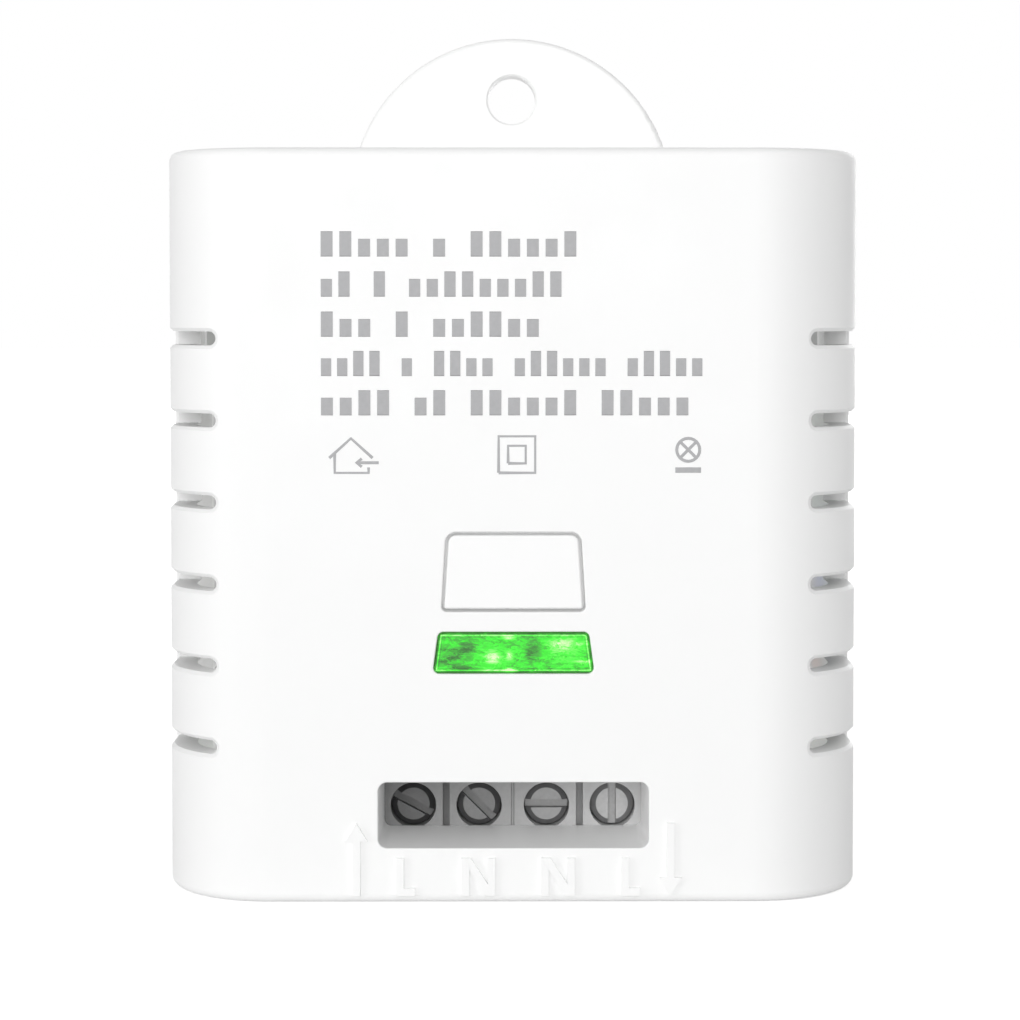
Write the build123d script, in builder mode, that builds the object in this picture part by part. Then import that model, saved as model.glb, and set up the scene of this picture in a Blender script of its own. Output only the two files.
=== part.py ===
from build123d import *
import os

os.makedirs("parts", exist_ok=True)

# Smart relay module: a white moulded case around one circuit board.
# The front face looks along -Y, the width runs along X, the hanging ear stands up along +Z.
# The origin is on the flat bottom end, midway across the width and the depth.
# Depths are measured back from the front face, heights of board parts from the board's front face.

# Case
case_width = 52.5
case_height = 56.0
case_depth = 25.0
case_wall = 2.0
side_radius = 8.2
rim_radius = 0.7
back_corner_radius = 2.0
inner_corner_radius = 0.5
rear_shell_depth = 5.0
lip_thickness = 0.9
lip_height = 1.5
lip_gap = 0.1
cut_overrun = 0.5
match_tolerance = 0.01

# Hanging ear
ear_radius = 13.2
ear_centre_drop = 3.0
ear_thickness = 3.0
ear_edge_radius = 0.4
ear_hole_radius = 1.95
ear_hole_rise = 5.2
ear_hole_chamfer = 0.15

# Vent slots
vent_count = 6
vent_pitch = 6.1
vent_low_z = 11.4
vent_width = 1.05
vent_inset = 4.15
vent_depth = 11.0
vent_chamfer = 0.25

# Snap hooks and the pockets that they click into
hook_width = 4.0
hook_thickness = 1.0
hook_rise = 5.5
hook_nub_height = 1.4
hook_nub_reach = 0.5
hook_gap = 0.1
hook_end_inset = 13.0

# Circuit board
board_thickness = 1.6
board_edge_gap = 0.4
board_corner_radius = 0.8
board_hole_gap = 0.1
hook_notch_gap = 0.3

# Standoffs behind the board and posts in front of it
standoff_height = 2.9
standoff_radius = 2.2
standoff_pin_radius = 0.9
standoff_gap = 0.1
post_radius = 1.8
post_gap = 0.1
post_inset_x = 5.5
post_low_z = 6.0
post_top_inset = 5.0

# Terminal blocks
pole_pitch = 5.08
block_gap = 0.12
block_length = 8.0
block_height = 10.4
block_wall_gap = 0.15
block_edge_radius = 0.15
pole_groove_width = 0.54
pole_groove_depth = 1.5
well_radius = 1.76
well_depth = 2.35
shoulder_thickness = 0.8
cavity_width = 4.1
cavity_floor = 0.85
cavity_front_wall = 0.8
cavity_back_wall = 0.7
wire_hole_radius = 1.35
wire_hole_rise = 2.75

# Terminal screws
screw_offset = 3.65
screw_recess = 0.7
screw_head_radius = 1.66
screw_head_height = 1.6
screw_head_bevel = 0.42
screw_shank_radius = 1.25
screw_fit_gap = 0.05
screw_tip_chamfer = 0.25
screw_slot_width = 0.62
screw_slot_depth = 0.7
screw_slot_angles = (-28, -45, 0, 90)

# Wire clamps
clamp_side_gap = 0.1
clamp_length = 3.4
clamp_top_wall = 1.0
clamp_side_wall = 0.6
clamp_bottom_wall = 0.7
clamp_opening = 2.9
clamp_travel = 1.6
clamp_end_gap = 0.1

# Terminal contacts
contact_thickness = 0.7
contact_side_gap = 0.1
contact_leg_width = 1.0
contact_leg_gap = 0.1
contact_pin_rise = 1.5

# Terminal window and its chimney
window_width = 20.1
window_height = 4.9
window_radius = 0.68
window_rise = 0.75
window_draft_angle = 1.0
chimney_wall = 1.0
chimney_gap = 0.1

# Rounding of the openings in the front face
opening_edge_radius = 0.12

# Wire entries, in a plate let into the bottom end
entry_radius = 1.7
entry_funnel = 0.5
entry_plate_margin = 3.2
entry_plate_reach = 2.75
entry_plate_gap = 0.05
entry_flange_reach = 0.8
entry_flange_thickness = 0.9

# Raised marks under the window
mark_relief = 0.3
mark_root = 0.4
mark_stroke = 0.56
mark_low_z = 0.6
letter_height = 2.8
letter_shift = 0.35
outer_letter_x = 8.35
inner_letter_x = 2.95
wide_letter_width = 2.5
narrow_letter_width = 1.4
diagonal_share = 1.25
arrow_x = 11.65
arrow_length = 5.4
arrow_head_length = 1.35
arrow_head_width = 1.65

# Push button
key_top_width = 10.0
key_bottom_width = 10.7
key_height = 5.9
key_low_z = 21.7
key_top_radius = 0.8
key_bottom_radius = 0.4
key_gap = 0.22
key_edge_radius = 0.15
key_flange_overhang = 0.6
key_flange_thickness = 1.2
key_float = 0.05
key_stem_width = 3.2
key_stem_rib = 1.2
guide_gap = 0.15
guide_thickness = 1.0
guide_depth = 5.5

# Light pipe
lens_top_width = 11.15
lens_bottom_width = 12.0
lens_height = 3.1
lens_low_z = 17.1
lens_corner_radius = 0.45
lens_gap = 0.08
lens_edge_radius = 0.15
lens_flange_overhang = 0.4
lens_flange_thickness = 0.8
lens_leg_width = 3.0
lens_leg_height = 2.0
lens_led_gap = 0.3

# Push switch on the board
switch_size = 6.0
switch_body_height = 3.1
switch_cover_thickness = 0.3
switch_corner_radius = 0.3
plunger_radius = 1.7
plunger_height = 4.3
plunger_gap = 0.08
plunger_collar_radius = 2.2
plunger_collar_height = 0.6
switch_recess_depth = 1.6
dome_radius = 2.1
dome_height = 0.5
dome_thickness = 0.12
dome_taper_angle = 60
switch_foot_pitch = 4.5
switch_foot_width = 0.7

# Indicator on the board
led_width = 3.5
led_length = 2.8
led_height = 1.9
led_edge_radius = 0.2

# Relay
relay_inset = 9.6
relay_low_z = 13.5
relay_width = 10.2
relay_length = 18.4
relay_front_gap = 1.2
relay_top_gap = 0.12
relay_wall = 0.6
relay_base_thickness = 1.5
relay_base_gap = 0.05
relay_corner_radius = 0.5
yoke_width = 7.6
yoke_thickness = 1.0
yoke_end_gap = 0.5
yoke_leg_length = 9.8
bobbin_size = 8.2
bobbin_flange = 0.8
bobbin_tube_radius = 2.2
bobbin_yoke_gap = 0.3
coil_radius = 3.9
core_radius = 1.6
core_gap = 0.05
pole_face_radius = 2.6
pole_face_thickness = 0.6
armature_air_gap = 0.4
armature_float = 0.05
armature_width = 7.4
armature_thickness = 1.0
armature_length = 10.0
blade_width = 4.0
blade_thickness = 0.25
blade_overlap = 7.5
blade_length = 15.0
blade_end = 0.9
rivet_radius = 1.1
rivet_height = 0.55
contact_gap = 0.55
stop_gap = 0.08
fixed_blade_thickness = 0.4
fixed_blade_length = 2.4
fixed_leg_width = 2.0
relay_pin_radius = 0.45
coil_pin_spread = 6.6

# Wireless board
wifi_inset = 12.6
wifi_low_z = 32.7
wifi_width = 17.3
wifi_length = 15.0
wifi_thickness = 0.8
shield_width = 11.5
shield_length = 12.6
shield_height = 2.0
shield_wall = 0.2
shield_edge_gap = 0.6
shield_corner_radius = 0.3
antenna_track = 0.5
antenna_copper = 0.1
antenna_turns = 5
antenna_width = 3.2

# Electrolytic capacitors
input_cap_radius = 4.0
input_cap_height = 12.0
input_cap_inset = 13.3
input_cap_z = 17.0
output_cap_radius = 3.15
output_cap_height = 11.0
output_cap_inset = 14.1
output_cap_z = 26.6
cap_groove_rise = 1.6
cap_groove_depth = 0.25
cap_groove_width = 0.5
cap_edge_radius = 0.5
cap_vent_width = 0.3
cap_vent_depth = 0.2
cap_vent_share = 0.7
cap_lead_pitch = 3.5

# Drum inductor
inductor_inset = 5.9
inductor_z = 16.2
inductor_radius = 2.6
inductor_height = 7.0
inductor_flange = 1.0
inductor_core_radius = 1.3
inductor_winding_radius = 2.3

# Surge disc
surge_inset = 6.6
surge_z = 23.4
surge_radius = 3.5
surge_thickness = 3.2
surge_rise = 1.2
surge_lead_pitch = 2.4
surge_edge_radius = 0.8

# Fusible resistor, lying along the height of the case
fuse_inset = 4.9
fuse_low_z = 27.6
fuse_radius = 1.6
fuse_length = 8.0
fuse_cap_radius = 1.75
fuse_cap_length = 1.3
fuse_rise = 0.1

# Transformer
transformer_inset = 15.9
transformer_low_z = 34.2
core_width = 13.0
core_height = 11.0
core_thickness = 6.0
core_back = 2.4
core_leg = 1.4
core_centre = 3.0
core_rise = 1.0
winding_gap = 0.1
bobbin_wall = 0.5
rail_end_inset = 0.3
rail_length = 2.2

# Chips
chip_edge_radius = 0.1
bridge_inset = 6.5
bridge_z = 44.8
bridge_width = 4.0
bridge_length = 4.7
bridge_height = 2.5
supply_chip_x = 0.0
supply_chip_z = 50.9
supply_chip_width = 3.9
supply_chip_length = 4.9
supply_chip_height = 1.6
regulator_x = 8.0
regulator_z = 50.4
regulator_width = 6.5
regulator_length = 3.5
regulator_height = 1.7
driver_x = -5.2
driver_z = 17.6
driver_width = 1.4
driver_length = 3.0
driver_height = 1.1
chip_foot_width = 0.4
chip_foot_reach = 1.0
chip_foot_thickness = 0.2
chip_foot_pitch = 1.27
regulator_foot_pitch = 2.3
driver_foot_pitch = 0.95

# Wire leads through the board
lead_radius = 0.3
lead_pin_rise = 1.4

# Places worked out from the sizes above
front_y = (mark_relief - case_depth) / 2
back_y = front_y + case_depth
side_x = case_width / 2
seam_depth = case_depth - rear_shell_depth
hook_tip_depth = seam_depth - hook_rise
board_back_depth = case_depth - case_wall - standoff_height
board_front_depth = board_back_depth - board_thickness
board_half_width = side_x - case_wall - board_edge_gap
block_top_depth = board_front_depth - block_height
block_low_z = case_wall + block_wall_gap
block_centre_z = block_low_z + block_length / 2
block_width = 2 * pole_pitch
block_offset_x = block_gap / 2 + pole_pitch
screw_z = block_low_z + screw_offset
window_z = screw_z + window_rise
chimney_depth = block_top_depth - chimney_gap
cavity_depth = block_top_depth + well_depth + shoulder_thickness
cavity_height = board_front_depth - cavity_floor - cavity_depth
clamp_width = cavity_width - 2 * clamp_side_gap
clamp_height = clamp_top_wall + clamp_opening + clamp_bottom_wall
clamp_depth = cavity_depth + clamp_end_gap + clamp_travel
clamp_inner_width = clamp_width - 2 * clamp_side_wall
contact_depth = clamp_depth + clamp_top_wall + clamp_end_gap
contact_width = clamp_inner_width - 2 * contact_side_gap
contact_back_z = block_low_z + block_length - cavity_back_wall - contact_leg_gap
wire_depth = board_front_depth - wire_hole_rise
key_z = key_low_z + key_height / 2
lens_z = lens_low_z + lens_height / 2
relay_x = relay_inset - side_x
relay_height = board_front_depth - case_wall - relay_front_gap
relay_high_z = relay_low_z + relay_length
yoke_back_z = relay_high_z - relay_wall - yoke_end_gap
coil_z = yoke_back_z - yoke_thickness - bobbin_yoke_gap - bobbin_size / 2
stop_bottom = relay_height - relay_wall - relay_top_gap - fixed_blade_thickness
blade_bottom = stop_bottom - stop_gap - rivet_height - blade_thickness
armature_bottom = blade_bottom - armature_thickness
pole_face_bottom = armature_bottom - armature_air_gap - pole_face_thickness
bobbin_rise = relay_base_thickness + yoke_thickness
bobbin_height = pole_face_bottom - bobbin_rise
hinge_z = yoke_back_z - yoke_thickness / 2
blade_end_z = yoke_back_z - blade_length
rivet_z = blade_end_z + rivet_radius + blade_end / 2
wifi_centre_x = wifi_inset - side_x
input_cap_x = side_x - input_cap_inset
output_cap_x = side_x - output_cap_inset
inductor_x = side_x - inductor_inset
surge_x = side_x - surge_inset
fuse_x = side_x - fuse_inset
transformer_x = side_x - transformer_inset
bridge_x = side_x - bridge_inset
post_x = side_x - post_inset_x
hook_zs = (hook_end_inset, case_height - hook_end_inset)
post_zs = (post_low_z, case_height - post_top_inset)
post_spots = [(side * post_x, z) for side in (-1, 1) for z in post_zs]
pole_xs = [
    block_side * block_offset_x + pole_side * pole_pitch / 2
    for block_side in (-1, 1)
    for pole_side in (-1, 1)
]
entry_plate_width = 2 * (pole_xs[-1] + entry_plate_margin)
rebate_inset = case_wall - lip_thickness - lip_gap


def at_depth(depth):
    """The plane at a depth behind the front face, seen from the front."""
    return Plane.XZ.offset(-(front_y + depth))


def above_board(height):
    """The plane at a height over the board's front face, seen from the front."""
    return at_depth(board_front_depth - height)


def case_profile(inset, back_radius):
    """Cross-section of the case, drawn in from the outside: flat front, round sides, nearly square back."""
    with BuildSketch(Plane.XY) as profile:
        with Locations((0, (front_y + back_y) / 2)):
            Rectangle(case_width - 2 * inset, case_depth - 2 * inset)
        fillet(profile.vertices().group_by(Axis.Y)[0], side_radius - inset)
        fillet(profile.vertices().group_by(Axis.Y)[-1], back_radius)
    return profile.sketch


def tapered_outline(top_width, bottom_width, height, top_radius, bottom_radius, centre_z, grow):
    """Outline of a key or lens, narrower at its top, grown all round by a gap or an overhang."""
    top = top_width / 2 + grow
    bottom = bottom_width / 2 + grow
    reach = height / 2 + grow
    with BuildSketch() as outline:
        with Locations((0, centre_z)):
            Polygon((-bottom, -reach), (bottom, -reach), (top, reach), (-top, reach), align=None)
        fillet(outline.vertices().group_by(Axis.Y)[-1], top_radius + grow)
        fillet(outline.vertices().group_by(Axis.Y)[0], bottom_radius + grow)
    return outline.sketch


def key_outline(grow):
    return tapered_outline(
        key_top_width, key_bottom_width, key_height, key_top_radius, key_bottom_radius, key_z, grow
    )


def lens_outline(grow):
    return tapered_outline(
        lens_top_width, lens_bottom_width, lens_height, lens_corner_radius, lens_corner_radius, lens_z, grow
    )


def entry_plate_outline(grow):
    """The wire entry plate seen along Z, from the seam forward, grown on its three other sides."""
    plate_length = seam_depth - wire_depth + entry_plate_reach + grow
    with BuildSketch() as outline:
        with Locations((0, front_y + seam_depth)):
            Rectangle(entry_plate_width + 2 * grow, plate_length, align=(Align.CENTER, Align.MAX))
    return outline.sketch


def outline_gap(point):
    """How far a point of the front half lies from the outside of the case, seen along Z."""
    reach = abs(point.X) - side_x + side_radius
    depth = point.Y - front_y
    if depth > side_radius:
        return abs(reach - side_radius)
    return abs((reach**2 + (side_radius - depth) ** 2) ** 0.5 - side_radius)


# The outside of the closed case, rounded at its two ends
with BuildPart() as case_block:
    with BuildSketch(Plane.XY):
        add(case_profile(0, back_corner_radius))
    extrude(amount=case_height)
    end_faces = case_block.faces().filter_by(Axis.Z)
    fillet(end_faces.edges(), rim_radius)

# Front shell, open at the back
with BuildPart() as front_shell:
    add(case_block.part)
    split(bisect_by=at_depth(seam_depth), keep=Keep.TOP)
    with BuildSketch(Plane.XY.offset(case_wall)):
        add(case_profile(case_wall, inner_corner_radius))
    extrude(amount=case_height - 2 * case_wall, mode=Mode.SUBTRACT)
    # Rebate that the lip of the rear shell enters
    with BuildSketch(at_depth(seam_depth)):
        with Locations((0, case_height / 2)):
            Rectangle(case_width - 2 * rebate_inset, case_height - 2 * rebate_inset)
    extrude(amount=lip_height + lip_gap, mode=Mode.SUBTRACT)
    # Chimney from the window down to the terminal blocks
    with BuildSketch(at_depth(chimney_depth)):
        with Locations((0, window_z)):
            RectangleRounded(
                window_width + 2 * chimney_wall,
                window_height + 2 * chimney_wall,
                window_radius + chimney_wall,
            )
    extrude(amount=chimney_depth)
    # Posts that hold the board down
    with BuildSketch(at_depth(board_front_depth - post_gap)):
        with Locations(*post_spots):
            Circle(post_radius)
    extrude(amount=board_front_depth - post_gap)
    # Guides beside the key
    guide_x = key_bottom_width / 2 - key_gap + key_flange_overhang + guide_gap + guide_thickness / 2
    with BuildSketch(at_depth(guide_depth)):
        with Locations((-guide_x, key_z), (guide_x, key_z)):
            Rectangle(guide_thickness, key_height)
    extrude(amount=guide_depth)
    add(case_block.part, mode=Mode.INTERSECT)
    # Window, with a slight draft
    with BuildSketch(at_depth(0)):
        with Locations((0, window_z)):
            RectangleRounded(window_width, window_height, window_radius)
    extrude(amount=-chimney_depth, taper=window_draft_angle, mode=Mode.SUBTRACT)
    # Openings of the key and the light pipe
    with BuildSketch(at_depth(0)):
        add(key_outline(0))
        add(lens_outline(0))
    extrude(amount=-(case_wall + cut_overrun), mode=Mode.SUBTRACT)
    front_face = front_shell.faces().sort_by(Axis.Y)[0]
    fillet(front_face.inner_wires().edges(), opening_edge_radius)
    # Vent slots that wrap round both sides
    vent_reach = vent_inset + cut_overrun - vent_width / 2
    with BuildSketch(at_depth(0)):
        for side in (-1, 1):
            for row in range(vent_count):
                end_x = side * (side_x - vent_inset + vent_width / 2)
                row_z = vent_low_z + row * vent_pitch
                with Locations((end_x, row_z)):
                    Circle(vent_width / 2)
                with Locations((end_x + side * vent_reach / 2, row_z)):
                    Rectangle(vent_reach, vent_width)
    extrude(amount=-vent_depth, mode=Mode.SUBTRACT)
    # Bevel round the mouth of each slot
    slot_rim = []
    for edge in front_shell.edges():
        points = [edge @ share for share in (0, 0.5, 1)]
        row_z = vent_low_z + round((points[1].Z - vent_low_z) / vent_pitch) * vent_pitch
        in_slot = all(abs(point.Z - row_z) < vent_width / 2 + match_tolerance for point in points)
        on_side = all(abs(point.X) > side_x - vent_inset - match_tolerance for point in points)
        if in_slot and on_side and all(outline_gap(point) < match_tolerance for point in points):
            slot_rim.append(edge)
    chamfer(slot_rim, vent_chamfer)
    # Stepped opening in the bottom end for the wire entry plate
    with BuildSketch(Plane.XY):
        add(entry_plate_outline(entry_plate_gap))
    extrude(amount=case_wall, mode=Mode.SUBTRACT)
    with BuildSketch(Plane.XY.offset(case_wall)):
        add(entry_plate_outline(entry_flange_reach + entry_plate_gap))
    extrude(amount=-(entry_flange_thickness + entry_plate_gap), mode=Mode.SUBTRACT)
    # Pockets for the snap hooks
    pocket_length = hook_nub_height + 2 * hook_gap
    pocket_reach = hook_nub_reach + hook_gap
    with BuildSketch(at_depth(hook_tip_depth + pocket_length - hook_gap)):
        for side in (-1, 1):
            with Locations(*[(side * (side_x - case_wall + pocket_reach / 2), z) for z in hook_zs]):
                Rectangle(pocket_reach, hook_width + 2 * hook_gap)
    extrude(amount=pocket_length, mode=Mode.SUBTRACT)
    # Raised letters and arrows
    with BuildSketch(at_depth(mark_root)):
        for letter_side in (-1, 1):
            tall_x = letter_side * outer_letter_x + letter_shift - narrow_letter_width / 2
            with Locations((tall_x, mark_low_z)):
                Rectangle(mark_stroke, letter_height, align=(Align.MIN, Align.MIN))
                Rectangle(narrow_letter_width, mark_stroke, align=(Align.MIN, Align.MIN))
            wide_x = letter_side * inner_letter_x + letter_shift - wide_letter_width / 2
            with Locations((wide_x, mark_low_z), (wide_x + wide_letter_width - mark_stroke, mark_low_z)):
                Rectangle(mark_stroke, letter_height, align=(Align.MIN, Align.MIN))
            diagonal = mark_stroke * diagonal_share
            with Locations((wide_x, mark_low_z)):
                Polygon(
                    (0, letter_height),
                    (wide_letter_width - diagonal, 0),
                    (wide_letter_width, 0),
                    (diagonal, letter_height),
                    align=None,
                )
        for arrow_side in (-1, 1):
            stem_length = arrow_length - arrow_head_length
            stem_z = mark_low_z if arrow_side < 0 else mark_low_z + arrow_head_length
            head_z = mark_low_z + stem_length if arrow_side < 0 else mark_low_z + arrow_head_length
            with Locations((arrow_side * arrow_x, stem_z)):
                Rectangle(mark_stroke, stem_length, align=(Align.CENTER, Align.MIN))
            with Locations((arrow_side * arrow_x, head_z)):
                Polygon(
                    (-arrow_head_width / 2, 0),
                    (arrow_head_width / 2, 0),
                    (0, -arrow_side * arrow_head_length),
                    align=None,
                )
    extrude(amount=mark_root + mark_relief)
front_shell.part.label = "front_shell"
export_step(front_shell.part, "parts/front_shell.step")

# Wire entry plate: a flanged plate in the bottom end, held in by the rear shell
with BuildPart() as entry_plate:
    with BuildSketch(Plane.XY):
        add(entry_plate_outline(0))
    extrude(amount=case_wall)
    with BuildSketch(Plane.XY.offset(case_wall)):
        add(entry_plate_outline(entry_flange_reach))
    extrude(amount=-entry_flange_thickness)
    # Step that the lip of the rear shell covers
    with BuildSketch(at_depth(seam_depth)):
        with Locations((0, rebate_inset)):
            Rectangle(2 * entry_plate_width, case_wall, align=(Align.CENTER, Align.MIN))
    extrude(amount=lip_height + lip_gap, mode=Mode.SUBTRACT)
    # Wire entries with a small funnel
    for pole_x in pole_xs:
        with Locations(Location((pole_x, front_y + wire_depth, 0), (180, 0, 0))):
            CounterSinkHole(entry_radius, entry_radius + entry_funnel, depth=case_wall + cut_overrun)
entry_plate.part.label = "entry_plate"
export_step(entry_plate.part, "parts/entry_plate.step")

# Hanging ear with its hole: a rounded disc, cut off where it enters the top wall, flush with the back
with BuildPart() as hanging_ear:
    with BuildSketch(at_depth(case_depth - ear_thickness)):
        with Locations((0, case_height - ear_centre_drop)):
            Circle(ear_radius)
        with Locations((0, case_height + ear_hole_rise)):
            Circle(ear_hole_radius, mode=Mode.SUBTRACT)
    extrude(amount=-ear_thickness)
    ear_rims = hanging_ear.edges().filter_by(GeomType.CIRCLE)
    hole_rims = ear_rims.filter_by(lambda edge: abs(edge.radius - ear_hole_radius) < match_tolerance)
    fillet(ear_rims - hole_rims, ear_edge_radius)
    hole_rims = hanging_ear.edges().filter_by(GeomType.CIRCLE)
    hole_rims = hole_rims.filter_by(lambda edge: abs(edge.radius - ear_hole_radius) < match_tolerance)
    chamfer(hole_rims, ear_hole_chamfer)
    split(bisect_by=Plane.XY.offset(case_height - case_wall), keep=Keep.TOP)

# Rear shell: back wall, lip, hanging ear, standoffs and snap hooks
with BuildPart() as rear_shell:
    add(case_block.part)
    split(bisect_by=at_depth(seam_depth), keep=Keep.BOTTOM)
    with BuildSketch(Plane.XY.offset(case_wall)):
        add(case_profile(case_wall, inner_corner_radius))
    extrude(amount=case_height - 2 * case_wall, mode=Mode.SUBTRACT)
    # Lip that enters the front shell
    lip_inset = case_wall - lip_thickness
    with BuildSketch(at_depth(seam_depth)):
        with Locations((0, case_height / 2)):
            Rectangle(case_width - 2 * lip_inset, case_height - 2 * lip_inset)
            Rectangle(case_width - 2 * case_wall, case_height - 2 * case_wall, mode=Mode.SUBTRACT)
    extrude(amount=lip_height)
    add(hanging_ear.part)
    # Standoffs with the pins that locate the board
    with BuildSketch(at_depth(case_depth - case_wall)):
        with Locations(*post_spots):
            Circle(standoff_radius)
    extrude(amount=standoff_height)
    with BuildSketch(at_depth(board_back_depth)):
        with Locations(*post_spots):
            Circle(standoff_pin_radius)
    extrude(amount=board_thickness - standoff_gap)
    # Snap hooks with their nubs
    hook_x = side_x - case_wall - hook_gap - hook_thickness / 2
    nub_base_depth = hook_tip_depth + hook_nub_height
    with BuildSketch(at_depth(case_depth - case_wall)):
        for side in (-1, 1):
            with Locations(*[(side * hook_x, z) for z in hook_zs]):
                Rectangle(hook_thickness, hook_width)
    extrude(amount=case_depth - case_wall - hook_tip_depth)
    for side in (-1, 1):
        nub_x = side * (hook_x + hook_thickness / 2)
        for hook_z in hook_zs:
            with BuildSketch(Plane.XY.offset(hook_z - hook_width / 2)):
                Polygon(
                    (nub_x, front_y + hook_tip_depth),
                    (nub_x, front_y + nub_base_depth),
                    (nub_x + side * hook_nub_reach, front_y + nub_base_depth),
                    align=None,
                )
            extrude(amount=hook_width)
rear_shell.part.label = "rear_shell"
export_step(rear_shell.part, "parts/rear_shell.step")

# Push button: key, retaining flange and cross-shaped stem
with BuildPart() as push_button:
    with BuildSketch(at_depth(0)):
        add(key_outline(-key_gap))
    extrude(amount=-(case_wall + key_float + key_flange_thickness))
    fillet(push_button.edges().group_by(Axis.Y)[0], key_edge_radius)
    with BuildSketch(at_depth(case_wall + key_float)):
        add(key_outline(key_flange_overhang - key_gap))
    extrude(amount=-key_flange_thickness)
    stem_depth = board_front_depth - plunger_height
    with BuildSketch(at_depth(stem_depth)):
        with Locations((0, key_z)):
            Rectangle(key_stem_width, key_stem_rib)
            Rectangle(key_stem_rib, key_stem_width)
    extrude(amount=stem_depth - case_wall - key_float)
push_button.part.label = "push_button"
export_step(push_button.part, "parts/push_button.step")

# Light pipe: lens, flange glued behind the wall, and the leg that reaches down to the indicator
with BuildPart() as led_lens:
    with BuildSketch(at_depth(0)):
        add(lens_outline(-lens_gap))
    extrude(amount=-(case_wall + lens_flange_thickness))
    fillet(led_lens.edges().group_by(Axis.Y)[0], lens_edge_radius)
    with BuildSketch(at_depth(case_wall)):
        add(lens_outline(lens_flange_overhang))
    extrude(amount=-lens_flange_thickness)
    leg_depth = board_front_depth - led_height - lens_led_gap
    with BuildSketch(at_depth(leg_depth)):
        with Locations((0, lens_z)):
            Rectangle(lens_leg_width, lens_leg_height)
    extrude(amount=leg_depth - case_wall)
led_lens.part.label = "led_lens"
export_step(led_lens.part, "parts/led_lens.step")

# Places where the terminal legs, relay pins, switch legs and wire leads pass the board, with their radii
leg_radius = (contact_leg_width**2 + contact_thickness**2) ** 0.5 / 2
relay_fixed_z = relay_low_z + relay_wall + fixed_blade_thickness / 2 + relay_base_gap
open_leg_z = rivet_z + fixed_blade_length / 2
relay_pin_spots = [
    (relay_x, relay_fixed_z + relay_pin_radius),
    (relay_x, open_leg_z),
    (relay_x, hinge_z - relay_pin_radius),
    (relay_x - coil_pin_spread / 2, coil_z - bobbin_size / 4),
    (relay_x + coil_pin_spread / 2, coil_z - bobbin_size / 4),
]
lead_spots = [
    (input_cap_x - cap_lead_pitch / 2, input_cap_z),
    (input_cap_x + cap_lead_pitch / 2, input_cap_z),
    (output_cap_x - cap_lead_pitch / 2, output_cap_z),
    (output_cap_x + cap_lead_pitch / 2, output_cap_z),
    (inductor_x - inductor_core_radius, inductor_z),
    (inductor_x + inductor_core_radius, inductor_z),
    (surge_x - surge_lead_pitch / 2, surge_z),
    (surge_x + surge_lead_pitch / 2, surge_z),
]
contact_leg_z = contact_back_z - contact_thickness / 2

# Circuit board, notched for the snap hooks and drilled for pins and leads
with BuildPart() as circuit_board:
    with BuildSketch(at_depth(board_back_depth)):
        with Locations((0, case_height / 2)):
            RectangleRounded(
                2 * board_half_width, case_height - 2 * case_wall - 2 * board_edge_gap, board_corner_radius
            )
        notch_reach = board_half_width - (hook_x - hook_thickness / 2) + hook_notch_gap
        for side in (-1, 1):
            with Locations(*[(side * (board_half_width - notch_reach / 2), z) for z in hook_zs]):
                Rectangle(notch_reach, hook_width + 2 * hook_notch_gap, mode=Mode.SUBTRACT)
        with Locations(*post_spots):
            Circle(standoff_pin_radius + standoff_gap, mode=Mode.SUBTRACT)
        with Locations(*[(x, contact_leg_z) for x in pole_xs]):
            Circle(leg_radius + board_hole_gap, mode=Mode.SUBTRACT)
        with Locations(*relay_pin_spots):
            Circle(relay_pin_radius + board_hole_gap, mode=Mode.SUBTRACT)
        with Locations(*lead_spots):
            Circle(lead_radius + board_hole_gap, mode=Mode.SUBTRACT)
    extrude(amount=board_thickness)
circuit_board.part.label = "circuit_board"
export_step(circuit_board.part, "parts/circuit_board.step")


def terminal_block(block_x):
    """Two-pole housing: screw wells in its top, a groove between the poles, a wire hole to each pole."""
    poles = [block_x - pole_pitch / 2, block_x + pole_pitch / 2]
    cavity_length = block_length - cavity_front_wall - cavity_back_wall
    cavity_z = block_low_z + cavity_front_wall + cavity_length / 2
    with BuildPart() as block:
        with BuildSketch(at_depth(board_front_depth)):
            with Locations((block_x, block_centre_z)):
                Rectangle(block_width, block_length)
        extrude(amount=block_height)
        fillet(block.edges().group_by(Axis.Y)[0], block_edge_radius)
        with BuildSketch(at_depth(block_top_depth)):
            with Locations((block_x, block_centre_z)):
                Rectangle(pole_groove_width, block_length)
        extrude(amount=-pole_groove_depth, mode=Mode.SUBTRACT)
        with BuildSketch(at_depth(block_top_depth)):
            with Locations(*[(x, screw_z) for x in poles]):
                Circle(well_radius)
        extrude(amount=-well_depth, mode=Mode.SUBTRACT)
        with BuildSketch(at_depth(block_top_depth)):
            with Locations(*[(x, screw_z) for x in poles]):
                Circle(screw_shank_radius + screw_fit_gap)
        extrude(amount=-(well_depth + shoulder_thickness), mode=Mode.SUBTRACT)
        with BuildSketch(at_depth(cavity_depth)):
            with Locations(*[(x, cavity_z) for x in poles]):
                Rectangle(cavity_width, cavity_length)
        extrude(amount=-cavity_height, mode=Mode.SUBTRACT)
        with BuildSketch(Plane.XY.offset(block_low_z)):
            with Locations(*[(x, front_y + wire_depth) for x in poles]):
                Circle(wire_hole_radius)
        extrude(amount=cavity_front_wall, mode=Mode.SUBTRACT)
        with BuildSketch(at_depth(board_front_depth)):
            with Locations(*[(x, contact_leg_z) for x in poles]):
                Rectangle(contact_leg_width + 2 * contact_leg_gap, contact_thickness + 2 * contact_leg_gap)
        extrude(amount=cavity_floor, mode=Mode.SUBTRACT)
    return block.part


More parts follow.
